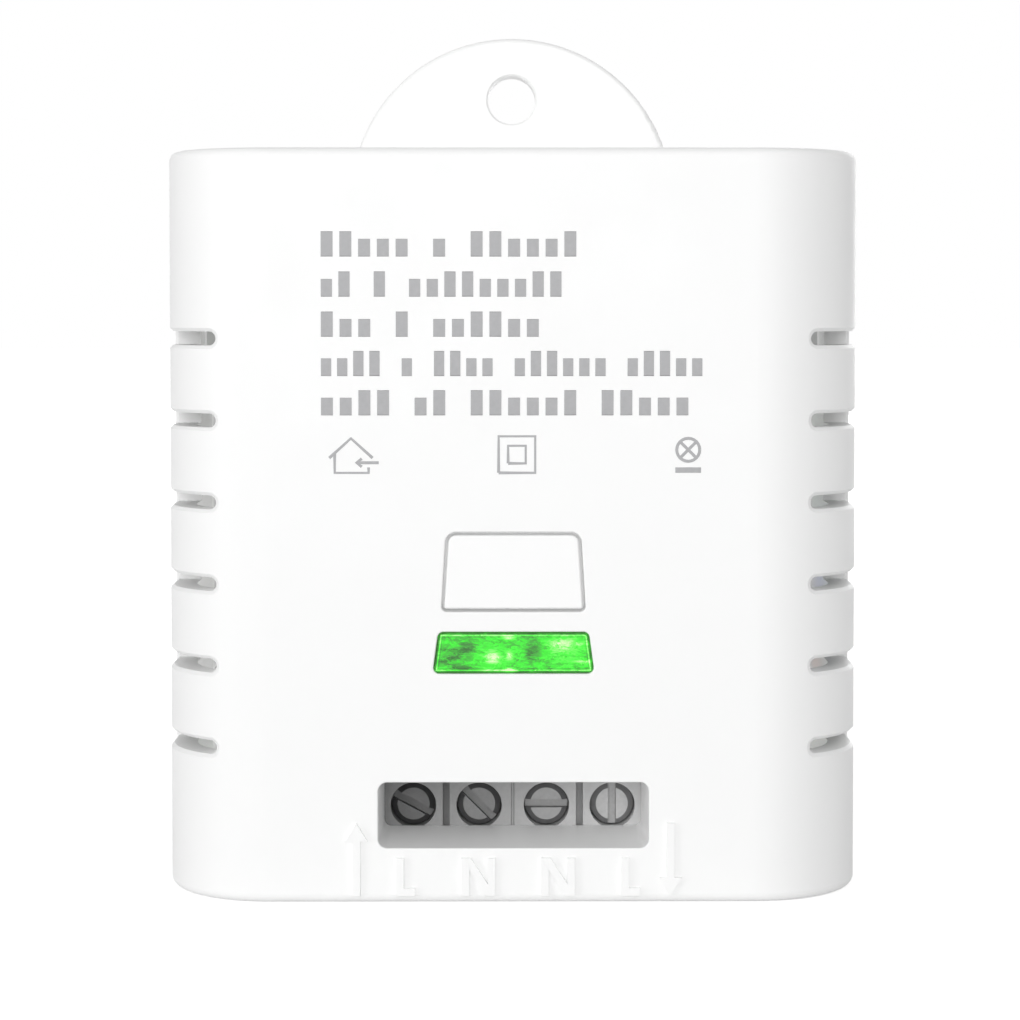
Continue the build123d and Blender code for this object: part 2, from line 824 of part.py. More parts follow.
def terminal_screw(pole_x, slot_angle):
    """Slotted clamp screw: bevelled cylinder head in the well, shank down to the current bar."""
    head_depth = block_top_depth + screw_recess
    shank_length = contact_depth - screw_fit_gap - head_depth - screw_head_height
    with BuildPart() as screw:
        with BuildSketch(at_depth(head_depth)):
            with Locations((pole_x, screw_z)):
                Circle(screw_head_radius)
        extrude(amount=-screw_head_height)
        chamfer(screw.edges().group_by(Axis.Y)[0], screw_head_bevel)
        with BuildSketch(at_depth(head_depth + screw_head_height)):
            with Locations((pole_x, screw_z)):
                Circle(screw_shank_radius)
        extrude(amount=-shank_length)
        chamfer(screw.edges().group_by(Axis.Y)[-1], screw_tip_chamfer)
        with BuildSketch(at_depth(head_depth)):
            with Locations((pole_x, screw_z)):
                Rectangle(2 * (screw_head_radius + cut_overrun), screw_slot_width, rotation=slot_angle)
        extrude(amount=-screw_slot_depth, mode=Mode.SUBTRACT)
    return screw.part


def wire_clamp(pole_x):
    """Rising cage: a square ring that the wire passes along Z, with the screw hole in its front wall."""
    cage_y = front_y + clamp_depth + clamp_height / 2
    opening_y = front_y + clamp_depth + clamp_top_wall + clamp_opening / 2
    with BuildPart() as cage:
        with BuildSketch(Plane.XY.offset(screw_z - clamp_length / 2)):
            with Locations((pole_x, cage_y)):
                Rectangle(clamp_width, clamp_height)
            with Locations((pole_x, opening_y)):
                Rectangle(clamp_inner_width, clamp_opening, mode=Mode.SUBTRACT)
        extrude(amount=clamp_length)
        with BuildSketch(at_depth(clamp_depth)):
            with Locations((pole_x, screw_z)):
                Circle(screw_shank_radius + screw_fit_gap)
        extrude(amount=-clamp_top_wall, mode=Mode.SUBTRACT)
    return cage.part


for block_name, block_side in (("terminal_block_in", -1), ("terminal_block_out", 1)):
    block_part = terminal_block(block_side * block_offset_x)
    block_part.label = block_name
    export_step(block_part, f"parts/{block_name}.step")

for number, (pole_x, slot_angle) in enumerate(zip(pole_xs, screw_slot_angles), start=1):
    screw_part = terminal_screw(pole_x, slot_angle)
    screw_part.label = f"terminal_screw_{number}"
    export_step(screw_part, f"parts/terminal_screw_{number}.step")
    cage_part = wire_clamp(pole_x)
    cage_part.label = f"wire_clamp_{number}"
    export_step(cage_part, f"parts/wire_clamp_{number}.step")

# Current bars with the legs that go through the board
with BuildPart() as terminal_contacts:
    bar_low_z = screw_z - clamp_length / 2
    bar_length = contact_back_z - bar_low_z
    with BuildSketch(at_depth(contact_depth + contact_thickness)):
        with Locations(*[(x, bar_low_z + bar_length / 2) for x in pole_xs]):
            Rectangle(contact_width, bar_length)
    extrude(amount=contact_thickness)
    with BuildSketch(at_depth(board_back_depth + contact_pin_rise)):
        with Locations(*[(x, contact_leg_z) for x in pole_xs]):
            Rectangle(contact_leg_width, contact_thickness)
    extrude(amount=board_back_depth + contact_pin_rise - contact_depth)
terminal_contacts.part.label = "terminal_contacts"
export_step(terminal_contacts.part, "parts/terminal_contacts.step")

# Relay base plate, inside the foot of the cover
relay_z = relay_low_z + relay_length / 2
relay_inner_width = relay_width - 2 * relay_wall
relay_inner_length = relay_length - 2 * relay_wall
with BuildPart() as relay_base:
    with BuildSketch(above_board(0)):
        with Locations((relay_x, relay_z)):
            Rectangle(relay_inner_width - 2 * relay_base_gap, relay_inner_length - 2 * relay_base_gap)
        with Locations(*relay_pin_spots):
            Circle(relay_pin_radius + relay_base_gap, mode=Mode.SUBTRACT)
    extrude(amount=relay_base_thickness)
relay_base.part.label = "relay_base"
export_step(relay_base.part, "parts/relay_base.step")

# Relay cover, open towards the board
with BuildPart() as relay_cover:
    with BuildSketch(above_board(0)):
        with Locations((relay_x, relay_z)):
            RectangleRounded(relay_width, relay_length, relay_corner_radius)
    extrude(amount=relay_height)
    fillet(relay_cover.edges().group_by(Axis.Y)[0], relay_corner_radius)
    with BuildSketch(above_board(0)):
        with Locations((relay_x, relay_z)):
            Rectangle(relay_inner_width, relay_inner_length)
    extrude(amount=relay_height - relay_wall, mode=Mode.SUBTRACT)
relay_cover.part.label = "relay_cover"
export_step(relay_cover.part, "parts/relay_cover.step")

# Yoke: an iron angle under the coil and up its back
with BuildPart() as relay_yoke:
    with BuildSketch(above_board(relay_base_thickness)):
        with Locations((relay_x, yoke_back_z)):
            Rectangle(yoke_width, yoke_leg_length, align=(Align.CENTER, Align.MAX))
    extrude(amount=yoke_thickness)
    with BuildSketch(above_board(relay_base_thickness)):
        with Locations((relay_x, yoke_back_z)):
            Rectangle(yoke_width, yoke_thickness, align=(Align.CENTER, Align.MAX))
    extrude(amount=armature_bottom - armature_float - relay_base_thickness)
relay_yoke.part.label = "relay_yoke"
export_step(relay_yoke.part, "parts/relay_yoke.step")

# Bobbin: two flanges and the tube that the core passes
with BuildPart() as relay_bobbin:
    for flange_rise in (0, bobbin_height - bobbin_flange):
        with BuildSketch(above_board(bobbin_rise + flange_rise)):
            with Locations((relay_x, coil_z)):
                RectangleRounded(bobbin_size, bobbin_size, relay_corner_radius)
        extrude(amount=bobbin_flange)
    with BuildSketch(above_board(bobbin_rise)):
        with Locations((relay_x, coil_z)):
            Circle(bobbin_tube_radius)
    extrude(amount=bobbin_height)
    with BuildSketch(above_board(bobbin_rise)):
        with Locations((relay_x, coil_z)):
            Circle(core_radius + core_gap)
    extrude(amount=bobbin_height, mode=Mode.SUBTRACT)
relay_bobbin.part.label = "relay_bobbin"
export_step(relay_bobbin.part, "parts/relay_bobbin.step")

# Coil winding between the flanges
with BuildPart() as relay_coil:
    with BuildSketch(above_board(bobbin_rise + bobbin_flange)):
        with Locations((relay_x, coil_z)):
            Circle(coil_radius)
            Circle(bobbin_tube_radius, mode=Mode.SUBTRACT)
    extrude(amount=bobbin_height - 2 * bobbin_flange)
relay_coil.part.label = "relay_coil"
export_step(relay_coil.part, "parts/relay_coil.step")

# Core with its pole face
with BuildPart() as relay_core:
    with BuildSketch(above_board(bobbin_rise)):
        with Locations((relay_x, coil_z)):
            Circle(core_radius)
    extrude(amount=bobbin_height)
    with BuildSketch(above_board(pole_face_bottom)):
        with Locations((relay_x, coil_z)):
            Circle(pole_face_radius)
    extrude(amount=pole_face_thickness)
relay_core.part.label = "relay_core"
export_step(relay_core.part, "parts/relay_core.step")

# Armature, resting over the pole face and tilting on the top edge of the yoke
with BuildPart() as relay_armature:
    with BuildSketch(above_board(armature_bottom)):
        with Locations((relay_x, yoke_back_z)):
            Rectangle(armature_width, armature_length, align=(Align.CENTER, Align.MAX))
    extrude(amount=armature_thickness)
relay_armature.part.label = "relay_armature"
export_step(relay_armature.part, "parts/relay_armature.step")

# Moving contact blade on the armature, with its rivet
with BuildPart() as relay_moving_blade:
    with BuildSketch(above_board(blade_bottom)):
        with Locations((relay_x, blade_end_z)):
            Rectangle(
                blade_width,
                yoke_back_z - armature_length + blade_overlap - blade_end_z,
                align=(Align.CENTER, Align.MIN),
            )
    extrude(amount=blade_thickness)
    with BuildSketch(above_board(blade_bottom - rivet_height)):
        with Locations((relay_x, rivet_z)):
            Circle(rivet_radius)
    extrude(amount=2 * rivet_height + blade_thickness)
relay_moving_blade.part.label = "relay_moving_blade"
export_step(relay_moving_blade.part, "parts/relay_moving_blade.step")

# Fixed contacts: the open one below the moving rivet, the back stop above it
with BuildPart() as relay_fixed_contacts:
    open_top = blade_bottom - rivet_height - contact_gap
    open_blade_top = open_top - rivet_height
    with BuildSketch(above_board(open_blade_top - fixed_blade_thickness)):
        with Locations((relay_x, rivet_z)):
            Rectangle(blade_width, fixed_blade_length)
    extrude(amount=fixed_blade_thickness)
    with BuildSketch(above_board(open_blade_top)):
        with Locations((relay_x, rivet_z)):
            Circle(rivet_radius)
    extrude(amount=rivet_height)
    with BuildSketch(above_board(relay_base_thickness)):
        with Locations((relay_x, open_leg_z)):
            Rectangle(fixed_leg_width, fixed_blade_thickness, align=(Align.CENTER, Align.MAX))
    extrude(amount=open_blade_top - relay_base_thickness)
    stop_low_z = relay_fixed_z - fixed_blade_thickness / 2
    with BuildSketch(above_board(stop_bottom)):
        with Locations((relay_x, stop_low_z)):
            Rectangle(
                blade_width, rivet_z + rivet_radius - stop_low_z, align=(Align.CENTER, Align.MIN)
            )
    extrude(amount=fixed_blade_thickness)
    with BuildSketch(above_board(relay_base_thickness)):
        with Locations((relay_x, stop_low_z)):
            Rectangle(fixed_leg_width, fixed_blade_thickness, align=(Align.CENTER, Align.MIN))
    extrude(amount=stop_bottom - relay_base_thickness)
relay_fixed_contacts.part.label = "relay_fixed_contacts"
export_step(relay_fixed_contacts.part, "parts/relay_fixed_contacts.step")

# Relay pins through the base and the board
with BuildPart() as relay_pins:
    with BuildSketch(at_depth(board_back_depth + lead_pin_rise)):
        with Locations(*relay_pin_spots):
            Circle(relay_pin_radius)
    extrude(amount=board_thickness + lead_pin_rise + relay_base_thickness)
relay_pins.part.label = "relay_pins"
export_step(relay_pins.part, "parts/relay_pins.step")

# Push switch: body, metal cover, snap dome and plunger
with BuildPart() as switch_body:
    with BuildSketch(above_board(0)):
        with Locations((0, key_z)):
            RectangleRounded(switch_size, switch_size, switch_corner_radius)
    extrude(amount=switch_body_height)
    with BuildSketch(above_board(switch_body_height)):
        with Locations((0, key_z)):
            Circle(plunger_collar_radius + plunger_gap)
    extrude(amount=-switch_recess_depth, mode=Mode.SUBTRACT)
switch_body.part.label = "switch_body"
export_step(switch_body.part, "parts/switch_body.step")

with BuildPart() as switch_cover:
    with BuildSketch(above_board(switch_body_height)):
        with Locations((0, key_z)):
            RectangleRounded(switch_size, switch_size, switch_corner_radius)
            Circle(plunger_radius + plunger_gap, mode=Mode.SUBTRACT)
    extrude(amount=switch_cover_thickness)
switch_cover.part.label = "switch_cover"
export_step(switch_cover.part, "parts/switch_cover.step")

# Snap dome under the plunger: a thin bowed disc on the floor of the recess
with BuildPart() as switch_dome:
    dome_rise = switch_body_height - switch_recess_depth
    with BuildSketch(above_board(dome_rise)):
        with Locations((0, key_z)):
            Circle(dome_radius)
    extrude(amount=dome_height, taper=dome_taper_angle)
    with BuildSketch(above_board(dome_rise)):
        with Locations((0, key_z)):
            Circle(dome_radius - dome_thickness)
    extrude(amount=dome_height - dome_thickness, taper=dome_taper_angle, mode=Mode.SUBTRACT)
switch_dome.part.label = "switch_dome"
export_step(switch_dome.part, "parts/switch_dome.step")

with BuildPart() as switch_plunger:
    collar_top = switch_body_height - plunger_gap / 2
    with BuildSketch(above_board(collar_top - plunger_collar_height)):
        with Locations((0, key_z)):
            Circle(plunger_collar_radius)
    extrude(amount=plunger_collar_height)
    with BuildSketch(above_board(collar_top)):
        with Locations((0, key_z)):
            Circle(plunger_radius)
    extrude(amount=plunger_height - collar_top)
switch_plunger.part.label = "switch_plunger"
export_step(switch_plunger.part, "parts/switch_plunger.step")

# Indicator under the light pipe
with BuildPart() as indicator_led:
    with BuildSketch(above_board(0)):
        with Locations((0, lens_z)):
            Rectangle(led_width, led_length)
    extrude(amount=led_height)
    chamfer(indicator_led.edges().group_by(Axis.Y)[0], led_edge_radius)
indicator_led.part.label = "indicator_led"
export_step(indicator_led.part, "parts/indicator_led.step")

# Wireless board, lying flat on the main board
wifi_z = wifi_low_z + wifi_length / 2
wifi_left_x = wifi_centre_x - wifi_width / 2
shield_x = wifi_centre_x + wifi_width / 2 - shield_edge_gap - shield_width / 2
with BuildPart() as wifi_board:
    with BuildSketch(above_board(0)):
        with Locations((wifi_centre_x, wifi_z)):
            Rectangle(wifi_width, wifi_length)
    extrude(amount=wifi_thickness)
wifi_board.part.label = "wifi_board"
export_step(wifi_board.part, "parts/wifi_board.step")

# Shield: a thin pressed can over the wireless chip
with BuildPart() as wifi_shield:
    with BuildSketch(above_board(wifi_thickness)):
        with Locations((shield_x, wifi_z)):
            RectangleRounded(shield_width, shield_length, shield_corner_radius)
    extrude(amount=shield_height)
    with BuildSketch(above_board(wifi_thickness)):
        with Locations((shield_x, wifi_z)):
            Rectangle(shield_width - 2 * shield_wall, shield_length - 2 * shield_wall)
    extrude(amount=shield_height - shield_wall, mode=Mode.SUBTRACT)
wifi_shield.part.label = "wifi_shield"
export_step(wifi_shield.part, "parts/wifi_shield.step")

# Antenna: a copper track that runs to and fro beside the shield
with BuildPart() as wifi_antenna:
    antenna_x = wifi_left_x + shield_edge_gap + antenna_width / 2
    antenna_pitch = (wifi_length - 2 * shield_edge_gap - antenna_track) / (2 * antenna_turns)
    with BuildSketch(above_board(wifi_thickness)):
        for run in range(2 * antenna_turns + 1):
            run_z = wifi_low_z + shield_edge_gap + antenna_track / 2 + run * antenna_pitch
            with Locations((antenna_x, run_z)):
                Rectangle(antenna_width, antenna_track)
            if run < 2 * antenna_turns:
                turn_side = 1 if run % 2 else -1
                turn_x = antenna_x + turn_side * (antenna_width - antenna_track) / 2
                with Locations((turn_x, run_z + antenna_pitch / 2)):
                    Rectangle(antenna_track, antenna_pitch)
    extrude(amount=antenna_copper)
wifi_antenna.part.label = "wifi_antenna"
export_step(wifi_antenna.part, "parts/wifi_antenna.step")


def electrolytic(x, z, radius, height):
    """Capacitor can standing on the board: beaded near its foot, with a cross scored in its top."""
    with BuildPart() as can:
        with BuildSketch(above_board(0)):
            with Locations((x, z)):
                Circle(radius)
        extrude(amount=height)
        fillet(can.edges().group_by(Axis.Y)[0], cap_edge_radius)
        with BuildSketch(above_board(cap_groove_rise)):
            with Locations((x, z)):
                Circle(radius)
                Circle(radius - cap_groove_depth, mode=Mode.SUBTRACT)
        extrude(amount=cap_groove_width, mode=Mode.SUBTRACT)
        with BuildSketch(above_board(height)):
            with Locations((x, z)):
                Rectangle(2 * radius * cap_vent_share, cap_vent_width)
                Rectangle(cap_vent_width, 2 * radius * cap_vent_share)
        extrude(amount=-cap_vent_depth, mode=Mode.SUBTRACT)
    return can.part


for cap_name, cap_x, cap_z, cap_radius, cap_height in (
    ("input_capacitor", input_cap_x, input_cap_z, input_cap_radius, input_cap_height),
    ("output_capacitor", output_cap_x, output_cap_z, output_cap_radius, output_cap_height),
):
    cap_part = electrolytic(cap_x, cap_z, cap_radius, cap_height)
    cap_part.label = cap_name
    export_step(cap_part, f"parts/{cap_name}.step")

# Supply inductor: a ferrite drum, and its winding between the flanges
with BuildPart() as inductor_drum:
    for flange_rise in (0, inductor_height - inductor_flange):
        with BuildSketch(above_board(flange_rise)):
            with Locations((inductor_x, inductor_z)):
                Circle(inductor_radius)
        extrude(amount=inductor_flange)
    with BuildSketch(above_board(0)):
        with Locations((inductor_x, inductor_z)):
            Circle(inductor_core_radius)
    extrude(amount=inductor_height)
inductor_drum.part.label = "inductor_drum"
export_step(inductor_drum.part, "parts/inductor_drum.step")

with BuildPart() as inductor_winding:
    with BuildSketch(above_board(inductor_flange)):
        with Locations((inductor_x, inductor_z)):
            Circle(inductor_winding_radius)
            Circle(inductor_core_radius, mode=Mode.SUBTRACT)
    extrude(amount=inductor_height - 2 * inductor_flange)
inductor_winding.part.label = "inductor_winding"
export_step(inductor_winding.part, "parts/inductor_winding.step")

# Surge disc, standing on edge
with BuildPart() as surge_disc:
    with BuildSketch(Plane.XY.offset(surge_z - surge_thickness / 2)):
        with Locations((surge_x, front_y + board_front_depth - surge_rise - surge_radius)):
            Circle(surge_radius)
    extrude(amount=surge_thickness)
    fillet(surge_disc.faces().filter_by(Axis.Z).edges(), surge_edge_radius)
surge_disc.part.label = "surge_disc"
export_step(surge_disc.part, "parts/surge_disc.step")

# Fusible resistor: a ceramic rod with pressed end caps, lying on the board
with BuildPart() as fuse_resistor:
    fuse_y = front_y + board_front_depth - fuse_rise - fuse_cap_radius
    with BuildSketch(Plane.XY.offset(fuse_low_z)):
        with Locations((fuse_x, fuse_y)):
            Circle(fuse_radius)
    extrude(amount=fuse_length)
    for cap_low_z in (fuse_low_z, fuse_low_z + fuse_length - fuse_cap_length):
        with BuildSketch(Plane.XY.offset(cap_low_z)):
            with Locations((fuse_x, fuse_y)):
                Circle(fuse_cap_radius)
        extrude(amount=fuse_cap_length)
fuse_resistor.part.label = "fuse_resistor"
export_step(fuse_resistor.part, "parts/fuse_resistor.step")

# Transformer core: two ferrite combs closed into a frame with a centre leg along X
core_window = (core_height - core_centre) / 2 - core_leg
winding_thickness = core_window - bobbin_wall - 2 * winding_gap
core_low_z = transformer_low_z + winding_thickness + bobbin_wall
transformer_z = core_low_z + core_thickness / 2
core_y = front_y + board_front_depth - core_rise - core_height / 2
with BuildPart() as transformer_core:
    with BuildSketch(Plane.XY.offset(core_low_z)):
        with Locations((transformer_x, core_y)):
            Rectangle(core_width, core_height)
        for leg_side in (-1, 1):
            with Locations((transformer_x, core_y + leg_side * (core_centre + core_window) / 2)):
                Rectangle(core_width - 2 * core_back, core_window, mode=Mode.SUBTRACT)
    extrude(amount=core_thickness)
transformer_core.part.label = "transformer_core"
export_step(transformer_core.part, "parts/transformer_core.step")

# Transformer bobbin: a square tube round the centre leg, with a pin rail on each side
tube_height = core_centre + 2 * winding_gap + 2 * bobbin_wall
tube_depth = core_thickness + 2 * winding_gap + 2 * bobbin_wall
tube_length = core_width - 2 * core_back - 2 * winding_gap
with BuildPart() as transformer_bobbin:
    with BuildSketch(Plane.YZ.offset(transformer_x - tube_length / 2)):
        with Locations((core_y, transformer_z)):
            Rectangle(tube_height, tube_depth)
            Rectangle(tube_height - 2 * bobbin_wall, tube_depth - 2 * bobbin_wall, mode=Mode.SUBTRACT)
    extrude(amount=tube_length)
    for rail_side in (-1, 1):
        rail_z = transformer_z + rail_side * (tube_depth - bobbin_wall + rail_length) / 2
        with BuildSketch(above_board(0)):
            with Locations((transformer_x, rail_z + rail_side * bobbin_wall / 2)):
                Rectangle(core_width - 2 * rail_end_inset, rail_length - bobbin_wall)
        extrude(amount=core_rise - winding_gap)
        web_rise = front_y + board_front_depth - core_y - tube_height / 2
        with BuildSketch(above_board(0)):
            with Locations(
                (transformer_x - tube_length / 2 + bobbin_wall / 2, rail_z),
                (transformer_x + tube_length / 2 - bobbin_wall / 2, rail_z),
            ):
                Rectangle(bobbin_wall, rail_length)
        extrude(amount=web_rise + tube_height)
transformer_bobbin.part.label = "transformer_bobbin"
export_step(transformer_bobbin.part, "parts/transformer_bobbin.step")

# Transformer winding between the bobbin's end webs
winding_length = tube_length - 2 * bobbin_wall - 2 * winding_gap
with BuildPart() as transformer_winding:
    with BuildSketch(Plane.YZ.offset(transformer_x - winding_length / 2)):
        with Locations((core_y, transformer_z)):
            RectangleRounded(
                tube_height + 2 * winding_thickness,
                tube_depth + 2 * winding_thickness,
                winding_thickness / 2,
            )
            Rectangle(tube_height, tube_depth, mode=Mode.SUBTRACT)
    extrude(amount=winding_length)
transformer_winding.part.label = "transformer_winding"
export_step(transformer_winding.part, "parts/transformer_winding.step")

# Chips lying on the board, each a small moulded block with bevelled top edges
for chip_name, chip_x, chip_z, chip_width, chip_length, chip_height in (
    ("bridge_rectifier", bridge_x, bridge_z, bridge_width, bridge_length, bridge_height),
    ("supply_chip", supply_chip_x, supply_chip_z, supply_chip_width, supply_chip_length, supply_chip_height),
    ("regulator_chip", regulator_x, regulator_z, regulator_width, regulator_length, regulator_height),
    ("relay_driver", driver_x, driver_z, driver_width, driver_length, driver_height),
):
    with BuildPart() as chip:
        with BuildSketch(above_board(0)):
            with Locations((chip_x, chip_z)):
                Rectangle(chip_width, chip_length)
        extrude(amount=chip_height)
        chamfer(chip.edges().group_by(Axis.Y)[0], chip_edge_radius)
    chip.part.label = chip_name
    export_step(chip.part, f"parts/{chip_name}.step")

# Soldered feet of the chips and the push switch, all on the board's front face
with BuildPart() as solder_feet:
    with BuildSketch(above_board(0)):
        for side in (-1, 1):
            for chip_x, chip_z, chip_width, foot_pitch, foot_count in (
                (bridge_x, bridge_z, bridge_width, 2 * chip_foot_pitch, 2),
                (supply_chip_x, supply_chip_z, supply_chip_width, chip_foot_pitch, 4),
                (driver_x, driver_z, driver_width, 2 * driver_foot_pitch, 2),
            ):
                with Locations((chip_x + side * (chip_width + chip_foot_reach) / 2, chip_z)):
                    with GridLocations(chip_foot_reach, foot_pitch, 1, foot_count):
                        Rectangle(chip_foot_reach, chip_foot_width)
            with Locations((side * (switch_size + chip_foot_reach) / 2, key_z)):
                with GridLocations(chip_foot_reach, switch_foot_pitch, 1, 2):
                    Rectangle(chip_foot_reach, switch_foot_width)
        with Locations((regulator_x, regulator_z - (regulator_length + chip_foot_reach) / 2)):
            with GridLocations(regulator_foot_pitch, chip_foot_reach, 3, 1):
                Rectangle(switch_foot_width, chip_foot_reach)
    extrude(amount=chip_foot_thickness)
solder_feet.part.label = "solder_feet"
export_step(solder_feet.part, "parts/solder_feet.step")

# Wire leads of the standing parts, through the board
with BuildPart() as component_leads:
    with BuildSketch(at_depth(board_back_depth + lead_pin_rise)):
        with Locations(*lead_spots):
            Circle(lead_radius)
    extrude(amount=board_thickness + lead_pin_rise)
    with BuildSketch(above_board(0)):
        with Locations(*lead_spots[-2:]):
            Circle(lead_radius)
    extrude(amount=surge_rise)
component_leads.part.label = "component_leads"
export_step(component_leads.part, "parts/component_leads.step")
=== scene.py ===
import math

import bmesh
import bpy
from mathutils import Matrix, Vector


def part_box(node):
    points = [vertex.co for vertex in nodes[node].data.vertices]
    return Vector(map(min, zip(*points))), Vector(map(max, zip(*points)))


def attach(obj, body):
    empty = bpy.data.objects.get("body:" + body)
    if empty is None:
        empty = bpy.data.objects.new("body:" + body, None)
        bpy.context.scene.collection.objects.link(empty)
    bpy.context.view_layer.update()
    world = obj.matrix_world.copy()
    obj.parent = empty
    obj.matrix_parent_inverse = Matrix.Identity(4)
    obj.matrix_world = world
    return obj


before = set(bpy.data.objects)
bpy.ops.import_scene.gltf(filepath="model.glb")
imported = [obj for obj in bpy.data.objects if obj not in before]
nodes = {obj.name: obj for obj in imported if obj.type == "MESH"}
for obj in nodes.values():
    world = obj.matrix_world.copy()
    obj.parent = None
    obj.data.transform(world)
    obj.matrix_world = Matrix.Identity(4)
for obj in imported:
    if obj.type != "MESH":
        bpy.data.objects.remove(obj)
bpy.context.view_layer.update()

# Studio: a pale floor under an even white surround, with a large soft lamp in front, a smaller one low on the
# left and one behind. The camera stands 20 cm in front of the case, a little over its middle.

camera_place = Vector((-0.00134, -0.20724, 0.04379))
camera_aim = Vector((-0.00026, -0.01235, 0.03679))
camera_lens = 93.3
camera_sensor = 36.0
camera_shift = -0.1
lamp_aim = Vector((0, 0, 0.03))
surround_light = 0.42
floor_size = 6.0
floor_drop = 0.00003
# The floor's glow, painted weaker round the object: the distances and glows between which it rises
painted_shade_reach = (0.03, 0.15)
floor_glow_range = (0.69, 1.0)

scene = bpy.context.scene
scene.view_settings.view_transform = "Standard"

camera_data = bpy.data.cameras.new("camera")
camera_data.lens = camera_lens
camera_data.sensor_width = camera_sensor
camera_data.shift_y = camera_shift
camera_data.clip_start = 0.01
camera_data.clip_end = 20.0
camera = bpy.data.objects.new("camera", camera_data)
camera.location = camera_place
camera.rotation_mode = "QUATERNION"
camera.rotation_quaternion = (camera_aim - camera_place).to_track_quat("-Z", "Y")
scene.collection.objects.link(camera)
scene.camera = camera


def soft_lamp(name, place, side, power):
    """A square lamp that faces the middle of the case."""
    data = bpy.data.lights.new(name, "AREA")
    data.shape = "SQUARE"
    data.size = side
    data.energy = power
    lamp = bpy.data.objects.new(name, data)
    lamp.location = place
    lamp.rotation_mode = "QUATERNION"
    lamp.rotation_quaternion = (lamp_aim - lamp.location).to_track_quat("-Z", "Y")
    lamp.visible_camera = False
    scene.collection.objects.link(lamp)


soft_lamp("front_lamp", (-0.05, -0.9, 0.25), 0.5, 3.93)
soft_lamp("left_lamp", (-0.74, -0.43, 0.12), 0.32, 1.64)
soft_lamp("back_lamp", (0.3, 0.85, 0.16), 0.5, 1.9)


def feed(tree, socket, value):
    """Links an input to an output, or gives it a plain value."""
    if isinstance(value, bpy.types.NodeSocket):
        tree.links.new(value, socket)
    else:
        socket.default_value = value


def calculate(tree, operation, *terms):
    """The result of one sum, whose terms are numbers or outputs."""
    node = tree.nodes.new("ShaderNodeMath")
    node.operation = operation
    for socket, term in zip(node.inputs, terms):
        feed(tree, socket, term)
    return node.outputs[0]


def rescale(tree, value, ends, results, smooth=False):
    """A value carried from one range to another, whose ends are numbers or outputs."""
    node = tree.nodes.new("ShaderNodeMapRange")
    if smooth:
        node.interpolation_type = "SMOOTHSTEP"
    tree.links.new(value, node.inputs["Value"])
    for name, end in zip(("From Min", "From Max", "To Min", "To Max"), (*ends, *results)):
        feed(tree, node.inputs[name], end)
    return node.outputs["Result"]


def shown_apart(tree, lighting, shown):
    """Lights the object by one shader, and shows the other to the camera, in gloss and through glass."""
    paths = tree.nodes.new("ShaderNodeLightPath")
    seen = calculate(tree, "MAXIMUM", paths.outputs["Is Camera Ray"], paths.outputs["Is Glossy Ray"])
    seen = calculate(tree, "MAXIMUM", seen, paths.outputs["Is Transmission Ray"])
    choice = tree.nodes.new("ShaderNodeMixShader")
    tree.links.new(seen, choice.inputs[0])
    tree.links.new(lighting.outputs[0], choice.inputs[1])
    tree.links.new(shown.outputs[0], choice.inputs[2])
    return choice.outputs[0]


world = bpy.data.worlds.new("surround")
scene.world = world
world.use_nodes = True
tree = world.node_tree
tree.nodes.clear()
soft_white = tree.nodes.new("ShaderNodeBackground")
seen_white = tree.nodes.new("ShaderNodeBackground")
for background, strength in ((soft_white, surround_light), (seen_white, 1.0)):
    background.inputs["Color"].default_value = (1, 1, 1, 1)
    background.inputs["Strength"].default_value = strength
output = tree.nodes.new("ShaderNodeOutputWorld")
tree.links.new(shown_apart(tree, soft_white, seen_white), output.inputs["Surface"])

bpy.ops.mesh.primitive_plane_add(size=floor_size, location=(0, 0, -floor_drop))
floor = bpy.context.object
floor.name = "floor"
paper = bpy.data.materials.new("pale_paper")
paper.use_nodes = True
tree = paper.node_tree
tree.nodes.clear()
plain_paper = tree.nodes.new("ShaderNodeBsdfDiffuse")
plain_paper.inputs["Color"].default_value = (0.8, 0.8, 0.8, 1)
shaded_paper = tree.nodes.new("ShaderNodeBsdfDiffuse")
shaded_paper.inputs["Color"].default_value = (0.6, 0.6, 0.6, 1)
# Painted shade: the floor glows full white further off, and a little less round the object, where its shadow
# lies
spot = tree.nodes.new("ShaderNodeTexCoord")
reach = tree.nodes.new("ShaderNodeVectorMath")
reach.operation = "LENGTH"
tree.links.new(spot.outputs["Object"], reach.inputs[0])
bright_paper = tree.nodes.new("ShaderNodeEmission")
painted_shade_fade = rescale(tree, reach.outputs["Value"], painted_shade_reach, floor_glow_range, smooth=True)
tree.links.new(painted_shade_fade, bright_paper.inputs["Strength"])
seen_paper = tree.nodes.new("ShaderNodeAddShader")
tree.links.new(shaded_paper.outputs[0], seen_paper.inputs[0])
tree.links.new(bright_paper.outputs[0], seen_paper.inputs[1])
output = tree.nodes.new("ShaderNodeOutputMaterial")
tree.links.new(shown_apart(tree, plain_paper, seen_paper), output.inputs["Surface"])
floor.data.materials.append(paper)

# Front and rear shells: white moulded ABS, two halves that snap together round the board.
# The mould leaves a very fine spark texture and a faint unevenness in the gloss.
# Their inner walls behind the front and beside the vents get a faint painted light, set as emission.

# The painted shadow line where the shells meet: its depth, half width and tone
seam_y = 0.00765
seam_half_width = 0.00004
seam_shadow_tone = 0.3
# Where the painted light shows: behind the front wall, beside the vents, and on faces that look in
behind_front_y = -0.0093
beside_vents_x = 0.0195
facing_in = -0.3


def group_sockets(group, inputs, outputs):
    """The named float inputs, with their values, and the named float outputs of a group."""
    for name, value in inputs:
        socket = group.interface.new_socket(name, in_out="INPUT", socket_type="NodeSocketFloat")
        socket.default_value = value
    for name in outputs:
        group.interface.new_socket(name, in_out="OUTPUT", socket_type="NodeSocketFloat")


